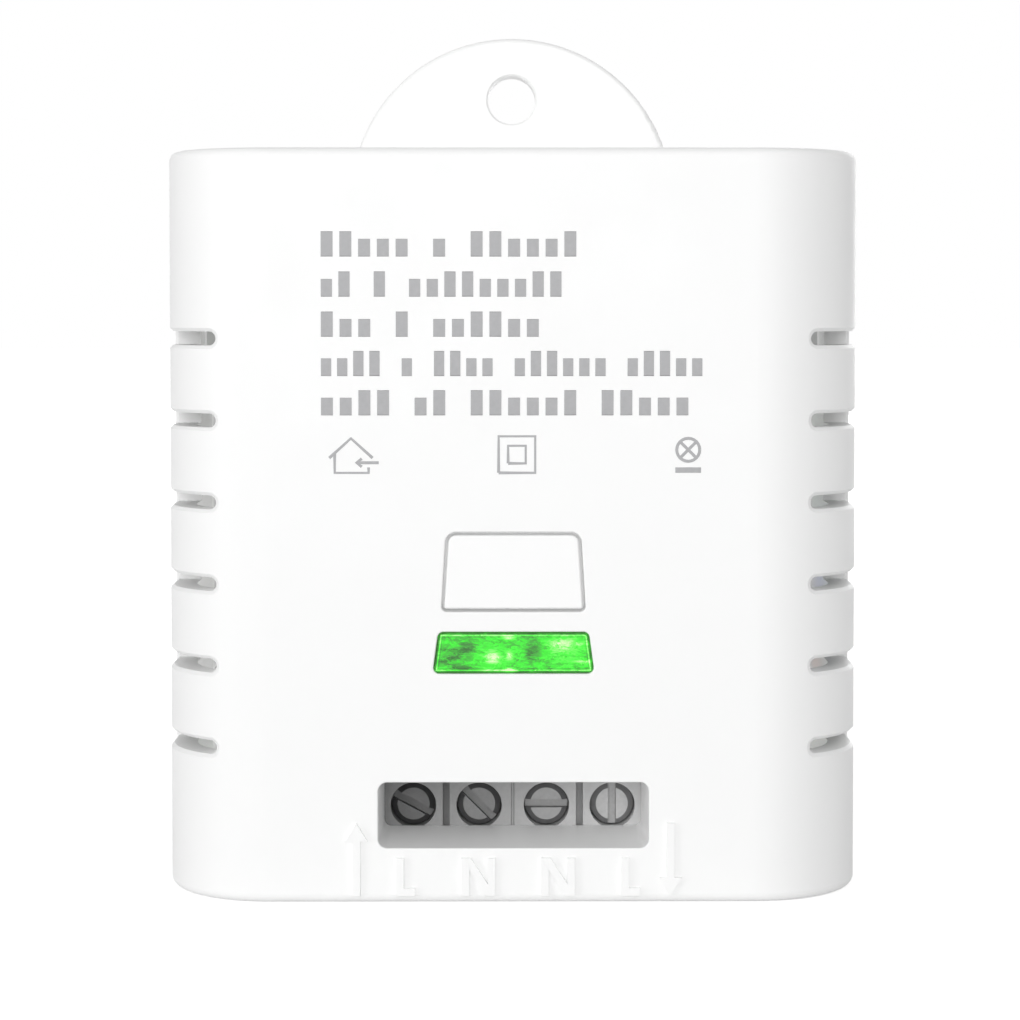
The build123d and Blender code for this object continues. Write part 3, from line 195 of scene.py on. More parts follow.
def place_on_piece(tree):
    """Where a point lies on its piece, as one place and as its three coordinates."""
    place = tree.nodes.new("ShaderNodeTexCoord").outputs["Object"]
    split = tree.nodes.new("ShaderNodeSeparateXYZ")
    tree.links.new(place, split.inputs[0])
    return place, tuple(split.outputs)


def noise(tree, place, scale, detail=2.0):
    """Grain or clouds over a surface."""
    node = tree.nodes.new("ShaderNodeTexNoise")
    tree.links.new(place, node.inputs["Vector"])
    feed(tree, node.inputs["Scale"], scale)
    node.inputs["Detail"].default_value = detail
    return node


def moulded_skin_group():
    """Fine grain and slow clouds over a moulded surface."""
    group = bpy.data.node_groups.new("moulded_skin", "ShaderNodeTree")
    group_sockets(
        group,
        (("Grain Scale", 9000.0), ("Cloud Scale", 160.0), ("Gloss Low", 0.35), ("Gloss High", 0.5)),
        ("Roughness", "Height", "Cloud"),
    )
    entry, out = group.nodes.new("NodeGroupInput"), group.nodes.new("NodeGroupOutput")
    place = group.nodes.new("ShaderNodeTexCoord").outputs["Object"]
    grain = noise(group, place, entry.outputs["Grain Scale"])
    cloud = noise(group, place, entry.outputs["Cloud Scale"], 3.0)
    gloss = (entry.outputs["Gloss Low"], entry.outputs["Gloss High"])
    group.links.new(rescale(group, cloud.outputs["Fac"], (0.35, 0.65), gloss), out.inputs["Roughness"])
    group.links.new(grain.outputs["Fac"], out.inputs["Height"])
    group.links.new(cloud.outputs["Fac"], out.inputs["Cloud"])
    return group


moulded_skin = moulded_skin_group()


def new_finish(name):
    """An empty material with its Principled shader."""
    finish = bpy.data.materials.new(name)
    finish.use_nodes = True
    return finish, finish.node_tree, finish.node_tree.nodes["Principled BSDF"]


def add_group(tree, group, **values):
    """A shader group placed in a material with its own values, named with underscores for spaces."""
    node = tree.nodes.new("ShaderNodeGroup")
    node.node_tree = group
    for name, value in values.items():
        node.inputs[name.replace("_", " ")].default_value = value
    return node


def add_skin(tree, surface, grain, cloud, gloss):
    """The moulded skin placed in a material, with its gloss joined to the shader."""
    low, high = gloss
    skin = add_group(tree, moulded_skin, Grain_Scale=grain, Cloud_Scale=cloud, Gloss_Low=low, Gloss_High=high)
    tree.links.new(skin.outputs["Roughness"], surface.inputs["Roughness"])
    return skin


def add_bump(tree, surface, height, depth):
    """A height fed to the shader's normal, with its depth in metres."""
    bump = tree.nodes.new("ShaderNodeBump")
    bump.inputs["Distance"].default_value = depth
    bump.inputs["Strength"].default_value = 1.0
    tree.links.new(height, bump.inputs["Height"])
    tree.links.new(bump.outputs["Normal"], surface.inputs["Normal"])


def blend_colours(tree, amount, low, high):
    """A colour that runs from low to high with an amount; each end is a colour or an output."""
    mix = tree.nodes.new("ShaderNodeMix")
    mix.data_type = "RGBA"
    tree.links.new(amount, mix.inputs["Factor"])
    for name, end in (("A", low), ("B", high)):
        feed(tree, mix.inputs[name], (*end, 1) if isinstance(end, tuple) else end)
    return mix.outputs["Result"]


def mottled(name, low, high, grain=9000.0, cloud=160.0, gloss=(0.38, 0.5), depth=0.000002):
    """A moulded or printed finish: its colour and gloss drift a little, over a fine grain."""
    finish, tree, surface = new_finish(name)
    skin = add_skin(tree, surface, grain, cloud, gloss)
    colour = blend_colours(tree, skin.outputs["Cloud"], low, high)
    tree.links.new(colour, surface.inputs["Base Color"])
    if depth:
        add_bump(tree, surface, skin.outputs["Height"], depth)
    return finish


def painted_inner_light_group():
    """Painted light, set as emission, on white walls behind a depth and beside the middle."""
    group = bpy.data.node_groups.new("painted_inner_light", "ShaderNodeTree")
    group_sockets(
        group,
        (("Depth", 0.0), ("Beside", 0.0), ("Facing In", 1.0), ("Dim", 0.2), ("Bright", 0.4)),
        ("Light",),
    )
    entry, out = group.nodes.new("NodeGroupInput"), group.nodes.new("NodeGroupOutput")
    place, (across, deep, _) = place_on_piece(group)
    facing = group.nodes.new("ShaderNodeTexCoord").outputs["Normal"]
    way = group.nodes.new("ShaderNodeSeparateXYZ")
    group.links.new(facing, way.inputs[0])
    behind = calculate(group, "GREATER_THAN", deep, entry.outputs["Depth"])
    beside = calculate(group, "GREATER_THAN", calculate(group, "ABSOLUTE", across), entry.outputs["Beside"])
    outward = calculate(group, "MULTIPLY", calculate(group, "SIGN", across), way.outputs["X"])
    inward = calculate(group, "LESS_THAN", outward, facing_in)
    any_way = calculate(group, "SUBTRACT", 1.0, entry.outputs["Facing In"])
    lit = calculate(group, "MULTIPLY", behind, beside)
    lit = calculate(group, "MULTIPLY", lit, calculate(group, "MAXIMUM", inward, any_way))
    grain = noise(group, place, 5000.0)
    strength = (entry.outputs["Dim"], entry.outputs["Bright"])
    light = rescale(group, grain.outputs["Fac"], (0.3, 0.7), strength)
    group.links.new(calculate(group, "MULTIPLY", lit, light), out.inputs["Light"])
    return group


painted_inner_light = painted_inner_light_group()


def paint_inner_light(finish, **values):
    """Paints a faint light, set as emission, on the inner walls of white plastic."""
    tree = finish.node_tree
    surface = tree.nodes["Principled BSDF"]
    painted_light = add_group(tree, painted_inner_light, **values)
    tree.links.new(painted_light.outputs["Light"], surface.inputs["Emission Color"])
    surface.inputs["Emission Strength"].default_value = 1.0


def paint_seam_shadow(finish):
    """A fine painted shadow line along the sides where the two shells meet."""
    tree = finish.node_tree
    base = tree.nodes["Principled BSDF"].inputs["Base Color"]
    plain = base.links[0].from_socket
    _, (_, deep, _) = place_on_piece(tree)
    near = calculate(tree, "COMPARE", deep, seam_y, seam_half_width)
    tree.links.new(blend_colours(tree, near, plain, (seam_shadow_tone, seam_shadow_tone, seam_shadow_tone)), base)


def dress(finish, *names):
    """Gives a finish to nodes of the model."""
    for name in names:
        nodes[name].data.materials.clear()
        nodes[name].data.materials.append(finish)


shell_white = mottled("shell_white", (0.93, 0.932, 0.93), (0.95, 0.95, 0.948), gloss=(0.42, 0.52))
# Painted light on the shells' inner walls, behind the front wall and beside the vents
paint_inner_light(shell_white, Depth=behind_front_y, Beside=beside_vents_x)
# A painted shadow line along the seam of the two shells
paint_seam_shadow(shell_white)
dress(shell_white, "front_shell", "rear_shell", "entry_plate")

# Printing on the front: five rows of plain grey blocks and three plain signs, in pad-printed grey ink.
# The ink lies on the shell, a fiftieth of a millimetre thick, and is a little worn.

front_y = -0.01235
ink_thickness = 0.00002
low_block = 0.0013
tall_block = 0.00185
block_share = 0.64
print_left = -0.0142
# Height of each row, its pitch and the number of blocks in each of its words
print_rows = (
    (0.0486, 0.00138, (5, 1, 6)),
    (0.04565, 0.00130, (2, 1, 9)),
    (0.0427, 0.00138, (3, 1, 6)),
    (0.0398, 0.00119, (4, 1, 4, 6, 5)),
    (0.0369, 0.00138, (4, 2, 6, 5)),
)
sign_stroke = 0.00022
bar_stroke = 0.0004
ring_x = 0.0129
ring_z = 0.0337
ring_radius = 0.00085
ring_steps = 24


def stroke_tree():
    """Ink strokes along the edges of a drawing: each edge becomes a flat stroke of a given width."""
    tree = bpy.data.node_groups.new("ink_strokes", "GeometryNodeTree")
    tree.interface.new_socket("Geometry", in_out="INPUT", socket_type="NodeSocketGeometry")
    group_sockets(tree, (("Stroke Width", 0.001), ("Ink Thickness", 0.00002), ("Face", 0.0)), ())
    tree.interface.new_socket("Ink", in_out="INPUT", socket_type="NodeSocketMaterial")
    tree.interface.new_socket("Geometry", in_out="OUTPUT", socket_type="NodeSocketGeometry")
    made, link = tree.nodes.new, tree.links.new
    entry, out = made("NodeGroupInput"), made("NodeGroupOutput")
    width, thickness = entry.outputs["Stroke Width"], entry.outputs["Ink Thickness"]
    to_curve = made("GeometryNodeMeshToCurve")
    profile = made("GeometryNodeCurvePrimitiveCircle")
    profile.inputs["Resolution"].default_value = 16
    sweep = made("GeometryNodeCurveToMesh")
    sweep.inputs["Fill Caps"].default_value = True
    flat = made("ShaderNodeCombineXYZ")
    flat.inputs["X"].default_value = 1.0
    flat.inputs["Z"].default_value = 1.0
    lift = made("ShaderNodeCombineXYZ")
    press = made("GeometryNodeTransform")
    realize = made("GeometryNodeRealizeInstances")
    paint = made("GeometryNodeSetMaterial")
    link(entry.outputs["Geometry"], to_curve.inputs["Mesh"])
    link(calculate(tree, "MULTIPLY", width, 0.5), profile.inputs["Radius"])
    link(to_curve.outputs["Curve"], sweep.inputs["Curve"])
    link(profile.outputs["Curve"], sweep.inputs["Profile Curve"])
    link(calculate(tree, "DIVIDE", thickness, width), flat.inputs["Y"])
    link(entry.outputs["Face"], lift.inputs["Y"])
    link(sweep.outputs["Mesh"], press.inputs["Geometry"])
    link(flat.outputs["Vector"], press.inputs["Scale"])
    link(lift.outputs["Vector"], press.inputs["Translation"])
    link(press.outputs["Geometry"], realize.inputs["Geometry"])
    link(realize.outputs["Geometry"], paint.inputs["Geometry"])
    link(entry.outputs["Ink"], paint.inputs["Material"])
    link(paint.outputs["Geometry"], out.inputs["Geometry"])
    return tree


def run_tree(name, mesh, tree, **values):
    """A plain mesh object made by running a geometry tree on a mesh, with its inputs set by name."""
    source = bpy.data.objects.new(name + "_source", mesh)
    scene.collection.objects.link(source)
    modifier = source.modifiers.new("tree", "NODES")
    modifier.node_group = tree
    keys = {item.name: item.identifier for item in tree.interface.items_tree if item.in_out == "INPUT"}
    for key, value in values.items():
        modifier[keys[key.replace("_", " ")]] = value
    graph = bpy.context.evaluated_depsgraph_get()
    baked = bpy.data.meshes.new_from_object(source.evaluated_get(graph), depsgraph=graph)
    bpy.data.objects.remove(source)
    baked.name = name
    piece = bpy.data.objects.new(name, baked)
    scene.collection.objects.link(piece)
    return piece


ink_tones = ((0.33, 0.33, 0.34), (0.48, 0.48, 0.49))
print_ink = mottled("print_ink", *ink_tones, grain=6000.0, cloud=1500.0, gloss=(0.4, 0.6), depth=0.0)
strokes = stroke_tree()


def print_strokes(name, lines, width):
    """Printed strokes along open lines of points across and up the front."""
    points, edges = [], []
    for line in lines:
        first = len(points)
        points += [(x, 0, z) for x, z in line]
        edges += [(first + n, first + n + 1) for n in range(len(line) - 1)]
    mesh = bpy.data.meshes.new(name + "_lines")
    mesh.from_pydata(points, edges, [])
    piece = run_tree(
        name,
        mesh,
        strokes,
        Stroke_Width=width,
        Ink_Thickness=ink_thickness,
        Face=front_y - ink_thickness / 2,
        Ink=print_ink,
    )
    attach(piece, "case")


low_lines, tall_lines = [], []
for row_z, pitch, words in print_rows:
    place = 0
    for word in words:
        for _ in range(word):
            left = print_left + place * pitch
            right = left + block_share * pitch
            if (3 * place + word) % 5 in (0, 3):
                middle = row_z + (tall_block - low_block) / 2
                tall_lines.append([(left, middle), (right, middle)])
            else:
                low_lines.append([(left, row_z), (right, row_z)])
            place += 1
        place += 1
print_strokes("print_low_blocks", low_lines, low_block)
print_strokes("print_tall_blocks", tall_lines, tall_block)


def square_line(left, low, side):
    """The outline of a square from its lower left corner."""
    right, high = left + side, low + side
    return [(left, low), (left, high), (right, high), (right, low), (left, low)]


ring_turns = [2 * math.pi * n / ring_steps for n in range(ring_steps + 1)]
ring = [(ring_x + ring_radius * math.cos(turn), ring_z + ring_radius * math.sin(turn)) for turn in ring_turns]
house_lines = [
    [(-0.0136, 0.0331), (-0.0120, 0.03455), (-0.0104, 0.0331)],
    [(-0.0132, 0.0334), (-0.0132, 0.0320), (-0.0107, 0.0320), (-0.0107, 0.0324)],
    [(-0.00995, 0.03275), (-0.0116, 0.03275)],
    [(-0.0112, 0.03305), (-0.0116, 0.03275), (-0.0112, 0.03245)],
]
nested_squares = [square_line(-0.0011, 0.0320, 0.0027), square_line(-0.0004, 0.0327, 0.0013)]
crossed_ring = [
    [(0.0123, 0.0331), (0.0135, 0.0343)],
    [(0.0123, 0.0343), (0.0135, 0.0331)],
    ring,
]
print_strokes("print_signs", house_lines + nested_squares + crossed_ring, sign_stroke)
print_strokes("print_sign_bar", [[(0.01195, 0.0322), (0.01385, 0.0322)]], bar_stroke)

# Push key: a cap of the same white ABS as the shells, flush with the front in a narrow gap.
# A flange behind the front wall keeps it in, and its cross-shaped stem stands on the push switch.

behind_gap_y = -0.0118
key_white = mottled("key_white", (0.935, 0.936, 0.935), (0.955, 0.955, 0.953), gloss=(0.38, 0.46))
# Painted light, set as emission, on the key's flange and the walls of its gap, behind the front
paint_inner_light(key_white, Depth=behind_gap_y, Facing_In=0.0, Dim=0.1, Bright=0.14)
dress(key_white, "push_button")

# Light pipe: clear green acrylic, glued in behind the front and lit by the indicator on the board.
# The light comes through unevenly, in patches and streaks.

lens_low_z = 0.01718
lens_high_z = 0.02012
# Half the lens's width at the height of the floor, and how it shrinks with height
lens_half_width = 0.00826
lens_taper = -0.137
lens_rim_width = 0.0004
lens_rim_light = 1.4
lens_streak_light = 0.9
lens_level = 0.435
# Fine painted glints and dark lines, where the moulded back of the lens is crazed: scale, width and strength
lens_crazing_glints = ((1700.0, 0.16, 0.42), (1050.0, 0.08, -0.5))
# Patches of light and shade: place across and up, half width, half height and strength
lens_patches = (
    (-0.0015, 0.0183, 0.0011, 0.0008, 1.25),
    (-0.0003, 0.0184, 0.0005, 0.0006, 0.90),
    (-0.0003, 0.0198, 0.0008, 0.0003, 0.90),
    (-0.0003, 0.0174, 0.0008, 0.0003, 1.10),
    (-0.0019, 0.0174, 0.0012, 0.0003, 0.40),
    (0.0033, 0.0192, 0.0012, 0.0009, 0.75),
    (0.0045, 0.0194, 0.0014, 0.0007, 0.50),
    (0.0050, 0.0180, 0.0012, 0.0002, 0.90),
    (0.0044, 0.0186, 0.0028, 0.0016, 0.22),
    (0.0014, 0.0188, 0.0009, 0.0017, -0.75),
    (-0.0033, 0.0193, 0.0010, 0.0011, -0.55),
    (-0.0045, 0.0184, 0.0024, 0.0014, -0.55),
    (-0.0038, 0.0175, 0.0016, 0.0004, -0.50),
)
# A painted shadow outline round the lens and a painted highlight line inside it, along its edge
lens_rim_shadow_and_highlight = (
    (0.0, (0.0, 0.0, 0.0)),
    (0.26, (0.05, 0.05, 0.05)),
    (0.36, (0.95, 0.95, 0.95)),
    (0.52, (0.85, 0.85, 0.85)),
    (0.66, (0.2, 0.2, 0.2)),
    (0.85, (0.45, 0.45, 0.45)),
    (1.0, (0.5, 0.5, 0.5)),
)
lens_greens = (
    (0.1, (0.02, 0.05, 0.015)),
    (0.26, (0.03, 0.16, 0.02)),
    (0.4, (0.04, 0.42, 0.025)),
    (0.52, (0.03, 0.74, 0.015)),
    (0.66, (0.05, 0.86, 0.03)),
    (0.82, (0.22, 0.90, 0.14)),
    (1.0, (0.78, 0.96, 0.55)),
)


def colour_ramp(tree, amount, stops):
    """A colour read off a row of stops by an amount."""
    ramp = tree.nodes.new("ShaderNodeValToRGB")
    marks = ramp.color_ramp.elements
    for mark, (position, colour) in zip((marks[0], marks[1]), (stops[0], stops[-1])):
        mark.position = position
        mark.color = (*colour, 1)
    for position, colour in stops[1:-1]:
        marks.new(position).color = (*colour, 1)
    tree.links.new(amount, ramp.inputs["Fac"])
    return ramp.outputs["Color"]


def lens_edge_distance(tree, across, up):
    """How far a point of the lens front lies inside its outline, with slanting ends, in metres."""
    half = calculate(tree, "MULTIPLY_ADD", up, lens_taper, lens_half_width)
    to_end = calculate(tree, "SUBTRACT", half, calculate(tree, "ABSOLUTE", across))
    to_top = calculate(tree, "SUBTRACT", lens_high_z, up)
    to_bottom = calculate(tree, "SUBTRACT", up, lens_low_z)
    return calculate(tree, "MINIMUM", to_end, calculate(tree, "MINIMUM", to_top, to_bottom))


def lit_green():
    """Green acrylic with the lamp's patches behind it."""
    finish, tree, surface = new_finish("lens_green")
    made, link = tree.nodes.new, tree.links.new
    place, (across, _, up) = place_on_piece(tree)
    squash = made("ShaderNodeMapping")
    squash.inputs["Scale"].default_value = (0.4, 1.0, 1.1)
    link(place, squash.inputs["Vector"])
    streaks = noise(tree, squash.outputs["Vector"], 2600.0, 6.0)
    streaks.inputs["Roughness"].default_value = 0.7
    streaks.inputs["Distortion"].default_value = 2.0
    bend = made("ShaderNodeVectorMath")
    bend.operation = "MULTIPLY_ADD"
    bend.inputs[1].default_value = (0.0011, 0.0011, 0.0011)
    link(streaks.outputs["Color"], bend.inputs[0])
    link(squash.outputs["Vector"], bend.inputs[2])
    level = 0.0
    # Painted glints and dark lines along the crazing
    for scale, width, strength in lens_crazing_glints:
        crazing = made("ShaderNodeTexVoronoi")
        crazing.feature = "DISTANCE_TO_EDGE"
        crazing.inputs["Scale"].default_value = scale
        link(bend.outputs["Vector"], crazing.inputs["Vector"])
        line = rescale(tree, crazing.outputs["Distance"], (0.0, width), (strength, 0.0))
        level = calculate(tree, "ADD", level, line)
    for x, z, width, height, strength in lens_patches:
        patch = made("ShaderNodeMapping")
        patch.vector_type = "TEXTURE"
        patch.inputs["Location"].default_value = (x, front_y, z)
        patch.inputs["Scale"].default_value = (width, 1.0, height)
        reach = made("ShaderNodeVectorMath")
        reach.operation = "LENGTH"
        link(place, patch.inputs["Vector"])
        link(patch.outputs["Vector"], reach.inputs[0])
        glow = rescale(tree, reach.outputs["Value"], (0.0, 1.0), (strength, 0.0), smooth=True)
        level = calculate(tree, "ADD", level, glow)
    # The painted shadow outline and highlight line along the lens edge
    inside = rescale(tree, lens_edge_distance(tree, across, up), (0.0, lens_rim_width), (0.0, 1.0))
    painted_rim = colour_ramp(tree, inside, lens_rim_shadow_and_highlight)
    level = calculate(tree, "MULTIPLY_ADD", painted_rim, lens_rim_light, level)
    level = calculate(tree, "MULTIPLY_ADD", streaks.outputs["Fac"], lens_streak_light, level)
    level = calculate(tree, "MULTIPLY", level, lens_level)
    link(colour_ramp(tree, level, lens_greens), surface.inputs["Emission Color"])
    surface.inputs["Emission Strength"].default_value = 1.0
    surface.inputs["Base Color"].default_value = (0.02, 0.12, 0.02, 1)
    surface.inputs["Roughness"].default_value = 0.16
    surface.inputs["Specular IOR Level"].default_value = 0.25
    add_bump(tree, surface, streaks.outputs["Fac"], 0.00002)
    return finish


dress(lit_green(), "led_lens")

# Terminal blocks: two housings of grey moulded polyamide, side by side and soldered to the board.
# The first is painted a darker grey and both are painted paler towards the right, as painted shade of the
# window's left wall.

block_width = 0.0101
mottle_share = 0.5
rib_play = 0.00001
rib_setback = 0.00004
rib_depth = 0.0008


def terminal_grey(name, left, dark, pale):
    """Grey polyamide with painted shade, dark at the left of a block and paling over its width."""
    finish, tree, surface = new_finish(name)
    skin = add_skin(tree, surface, 7000.0, 2400.0, (0.42, 0.6))
    _, (across, _, _) = place_on_piece(tree)
    drift = rescale(tree, across, (left, left + block_width), (0.0, 1.0))
    shade = calculate(tree, "MULTIPLY_ADD", skin.outputs["Cloud"], mottle_share, drift)
    shade = calculate(tree, "SUBTRACT", shade, mottle_share / 2)
    colour = blend_colours(tree, shade, (dark, dark, dark), (pale, pale, pale))
    tree.links.new(colour, surface.inputs["Base Color"])
    add_bump(tree, surface, skin.outputs["Height"], 0.000006)
    return finish


# Painted shade: the first block darker, and each block paler towards the right
dress(terminal_grey("terminal_grey_in", -block_width, 0.24, 0.41), "terminal_block_in")
dress(terminal_grey("terminal_grey_out", 0.0, 0.43, 0.62), "terminal_block_out")

# Rib that closes the joint between the two blocks
block_low, block_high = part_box("terminal_block_in")
next_low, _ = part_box("terminal_block_out")
left, right = block_high[0] + rib_play, next_low[0] - rib_play
front = block_low[1] + rib_setback
back = front + rib_depth
rib = bmesh.new()
corners = [
    rib.verts.new((x, y, z))
    for z in (block_low[2] + rib_play, block_high[2] - rib_play)
    for x, y in ((left, front), (right, front), (right, back), (left, back))
]
for face in ((3, 2, 1, 0), (4, 5, 6, 7), (0, 1, 5, 4), (1, 2, 6, 5), (2, 3, 7, 6), (3, 0, 4, 7)):
    rib.faces.new([corners[n] for n in face])
bmesh.ops.bevel(rib, geom=rib.edges[:], offset=rib_play, segments=2, profile=0.5, affect="EDGES")
rib_mesh = bpy.data.meshes.new("block_joint_rib")
rib.to_mesh(rib_mesh)
rib.free()
joint_rib = bpy.data.objects.new("block_joint_rib", rib_mesh)
scene.collection.objects.link(joint_rib)
# The rib gets the same painted shade, darker to the left
joint_rib.data.materials.append(terminal_grey("terminal_grey_rib", -0.005, 0.38, 0.5))
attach(joint_rib, "case")

# Terminal screws: turned steel, zinc plated, with a sawn slot and a bevelled head.
# The driver has scuffed the heads. They are painted lighter towards the right, and darker on the bevel and in
# the slot's walls, as painted shade.

# Painted lighter from the left to the right, with the share that a bevel or a slot's wall keeps of it as
# painted shade
head_painted_shades = (0.13, 0.22, 0.34, 0.48)
recess_shade_share = 0.66
recess_shade_blue_share = 0.67


def brushed_metal_group():
    """Fine scratches along one way, and slow clouds in the plating."""
    group = bpy.data.node_groups.new("brushed_metal", "ShaderNodeTree")
    group_sockets(
        group,
        (
            ("Scratch Scale", 6000.0),
            ("Stretch", 0.08),
            ("Cloud Scale", 700.0),
            ("Gloss Low", 0.25),
            ("Gloss High", 0.45),
        ),
        ("Roughness", "Height", "Cloud"),
    )
    made, link = group.nodes.new, group.links.new
    entry, out = made("NodeGroupInput"), made("NodeGroupOutput")
    place = made("ShaderNodeTexCoord").outputs["Object"]
    along = made("ShaderNodeCombineXYZ")
    along.inputs["Y"].default_value = 1.0
    along.inputs["Z"].default_value = 1.0
    squash = made("ShaderNodeVectorMath")
    squash.operation = "MULTIPLY"
    link(entry.outputs["Stretch"], along.inputs["X"])
    link(place, squash.inputs[0])
    link(along.outputs["Vector"], squash.inputs[1])
    scratches = noise(group, squash.outputs["Vector"], entry.outputs["Scratch Scale"], 3.0)
    cloud = noise(group, place, entry.outputs["Cloud Scale"])
    gloss = (entry.outputs["Gloss Low"], entry.outputs["Gloss High"])
    link(rescale(group, cloud.outputs["Fac"], (0.35, 0.65), gloss), out.inputs["Roughness"])
    link(scratches.outputs["Fac"], out.inputs["Height"])
    link(cloud.outputs["Fac"], out.inputs["Cloud"])
    return group


brushed_metal = brushed_metal_group()


def plated_metal(name, low, high, stretch=0.08, cloud=700.0, gloss=(0.25, 0.42), depth=0.000002):
    """Metal with fine marks and a little colour drift."""
    finish, tree, surface = new_finish(name)
    marks = add_group(
        tree, brushed_metal, Stretch=stretch, Cloud_Scale=cloud, Gloss_Low=gloss[0], Gloss_High=gloss[1]
    )
    colour = blend_colours(tree, marks.outputs["Cloud"], low, high)
    tree.links.new(colour, surface.inputs["Base Color"])
    tree.links.new(marks.outputs["Roughness"], surface.inputs["Roughness"])
    surface.inputs["Metallic"].default_value = 1.0
    add_bump(tree, surface, marks.outputs["Height"], depth)
    return finish


def screw_finish(name, head_tone):
    """Plated steel, scuffed on the flat of the head, with painted shade on its bevel and in the slot's walls.
    """
    dull, bright = head_tone * 0.8, head_tone * 1.25
    tones = ((dull, dull, dull), (bright, bright, bright))
    finish = plated_metal(name, *tones, stretch=0.6, cloud=2600.0, gloss=(0.4, 0.55), depth=0.000006)
    tree = finish.node_tree
    surface = tree.nodes["Principled BSDF"]
    scuffed = surface.inputs["Base Color"].links[0].from_socket
    facing = tree.nodes.new("ShaderNodeNewGeometry")
    split = tree.nodes.new("ShaderNodeSeparateXYZ")
    tree.links.new(facing.outputs["Normal"], split.inputs[0])
    flat = calculate(tree, "LESS_THAN", split.outputs["Y"], -0.9)
    painted_recess_shade = (head_tone * recess_shade_share, head_tone * recess_shade_share, head_tone * recess_shade_blue_share)
    colour = blend_colours(tree, flat, painted_recess_shade, scuffed)
    tree.links.new(colour, surface.inputs["Base Color"])
    surface.inputs["Metallic"].default_value = 0.25
    return finish


# Each head is painted a lighter grey towards the right, as painted shade
for number, shade in enumerate(head_painted_shades, start=1):
    dress(screw_finish(f"screw_steel_{number}", shade), f"terminal_screw_{number}")

# Wire clamps and current bars: cages pressed from plated steel sheet, which the screws draw up, round bars of
# brass whose legs are soldered in the board. The relay's contacts are of the same brass.

clamp_steel = plated_metal("clamp_steel", (0.55, 0.55, 0.55), (0.66, 0.66, 0.65))
dress(clamp_steel, "wire_clamp_1", "wire_clamp_2", "wire_clamp_3", "wire_clamp_4")
contact_brass = plated_metal("contact_brass", (0.66, 0.50, 0.26), (0.74, 0.60, 0.36))
dress(contact_brass, "terminal_contacts", "relay_fixed_contacts", "relay_moving_blade")

# Circuit board: white solder mask over glass laminate, with the copper under it just showing through.
# It lies on four posts of the rear shell, and the front shell holds it down.


def board_finish(name, low, high, track_scale):
    """Solder mask with faint tracks, drawn as the borders of blocky cells."""
    finish, tree, surface = new_finish(name)
    place = tree.nodes.new("ShaderNodeTexCoord").outputs["Object"]
    cells = tree.nodes.new("ShaderNodeTexVoronoi")
    cells.feature = "DISTANCE_TO_EDGE"
    cells.inputs["Scale"].default_value = track_scale
    cells.inputs["Randomness"].default_value = 0.7
    tree.links.new(place, cells.inputs["Vector"])
    track = rescale(tree, cells.outputs["Distance"], (0.06, 0.09), (1.0, 0.0))
    tree.links.new(blend_colours(tree, track, low, high), surface.inputs["Base Color"])
    surface.inputs["Roughness"].default_value = 0.3
    surface.inputs["Coat Weight"].default_value = 0.4
    add_bump(tree, surface, track, 0.00003)
    return finish


board_white = board_finish("board_white", (0.60, 0.61, 0.58), (0.70, 0.71, 0.68), 350.0)
dress(board_white, "circuit_board")

# Relay: a pale grey moulded cover over a black base, with a copper coil on a cream bobbin inside.
# The iron yoke, core and armature are annealed and nickel plated, and the pins are tinned.

relay_grey = mottled("relay_grey", (0.50, 0.50, 0.49), (0.58, 0.58, 0.57), grain=5000.0, gloss=(0.3, 0.45))
dress(relay_grey, "relay_cover")
moulding_black = mottled("moulding_black", (0.018, 0.018, 0.02), (0.035, 0.035, 0.037), gloss=(0.4, 0.6))
dress(moulding_black, "relay_base", "switch_body", "switch_plunger", "transformer_bobbin")
bobbin_cream = mottled("bobbin_cream", (0.62, 0.56, 0.42), (0.70, 0.64, 0.50))
dress(bobbin_cream, "relay_bobbin")
soft_iron = plated_metal("soft_iron", (0.42, 0.41, 0.39), (0.54, 0.53, 0.50), gloss=(0.35, 0.5))
dress(soft_iron, "relay_yoke", "relay_core", "relay_armature")


def wound_group():
    """Turns of round wire laid side by side along an axis."""
    group = bpy.data.node_groups.new("wound_wire", "ShaderNodeTree")
    group_sockets(
        group,
        (("Along X", 0.0), ("Along Y", 1.0), ("Along Z", 0.0), ("Turns Per Metre", 8000.0)),
        ("Height", "Shade"),
    )
    made, link = group.nodes.new, group.links.new
    entry, out = made("NodeGroupInput"), made("NodeGroupOutput")
    place = made("ShaderNodeTexCoord").outputs["Object"]
    axis = made("ShaderNodeCombineXYZ")
    for letter in "XYZ":
        link(entry.outputs["Along " + letter], axis.inputs[letter])
    along = made("ShaderNodeVectorMath")
    along.operation = "DOT_PRODUCT"
    link(place, along.inputs[0])
    link(axis.outputs["Vector"], along.inputs[1])
    turns = calculate(group, "MULTIPLY", along.outputs["Value"], entry.outputs["Turns Per Metre"])
    crown = calculate(group, "POWER", calculate(group, "PINGPONG", turns, 0.5), 0.5)
    link(crown, out.inputs["Height"])
    link(noise(group, place, 900.0).outputs["Fac"], out.inputs["Shade"])
    return group


wound_wire = wound_group()


def winding_finish(name, low, high, metallic, gloss, **axis):
    """A winding seen from outside: wire or tape laid turn by turn."""
    finish, tree, surface = new_finish(name)
    turns = add_group(tree, wound_wire, **axis)
    colour = blend_colours(tree, turns.outputs["Shade"], low, high)
    tree.links.new(colour, surface.inputs["Base Color"])
    surface.inputs["Metallic"].default_value = metallic
    surface.inputs["Roughness"].default_value = gloss
    add_bump(tree, surface, turns.outputs["Height"], 0.00006)
    return finish


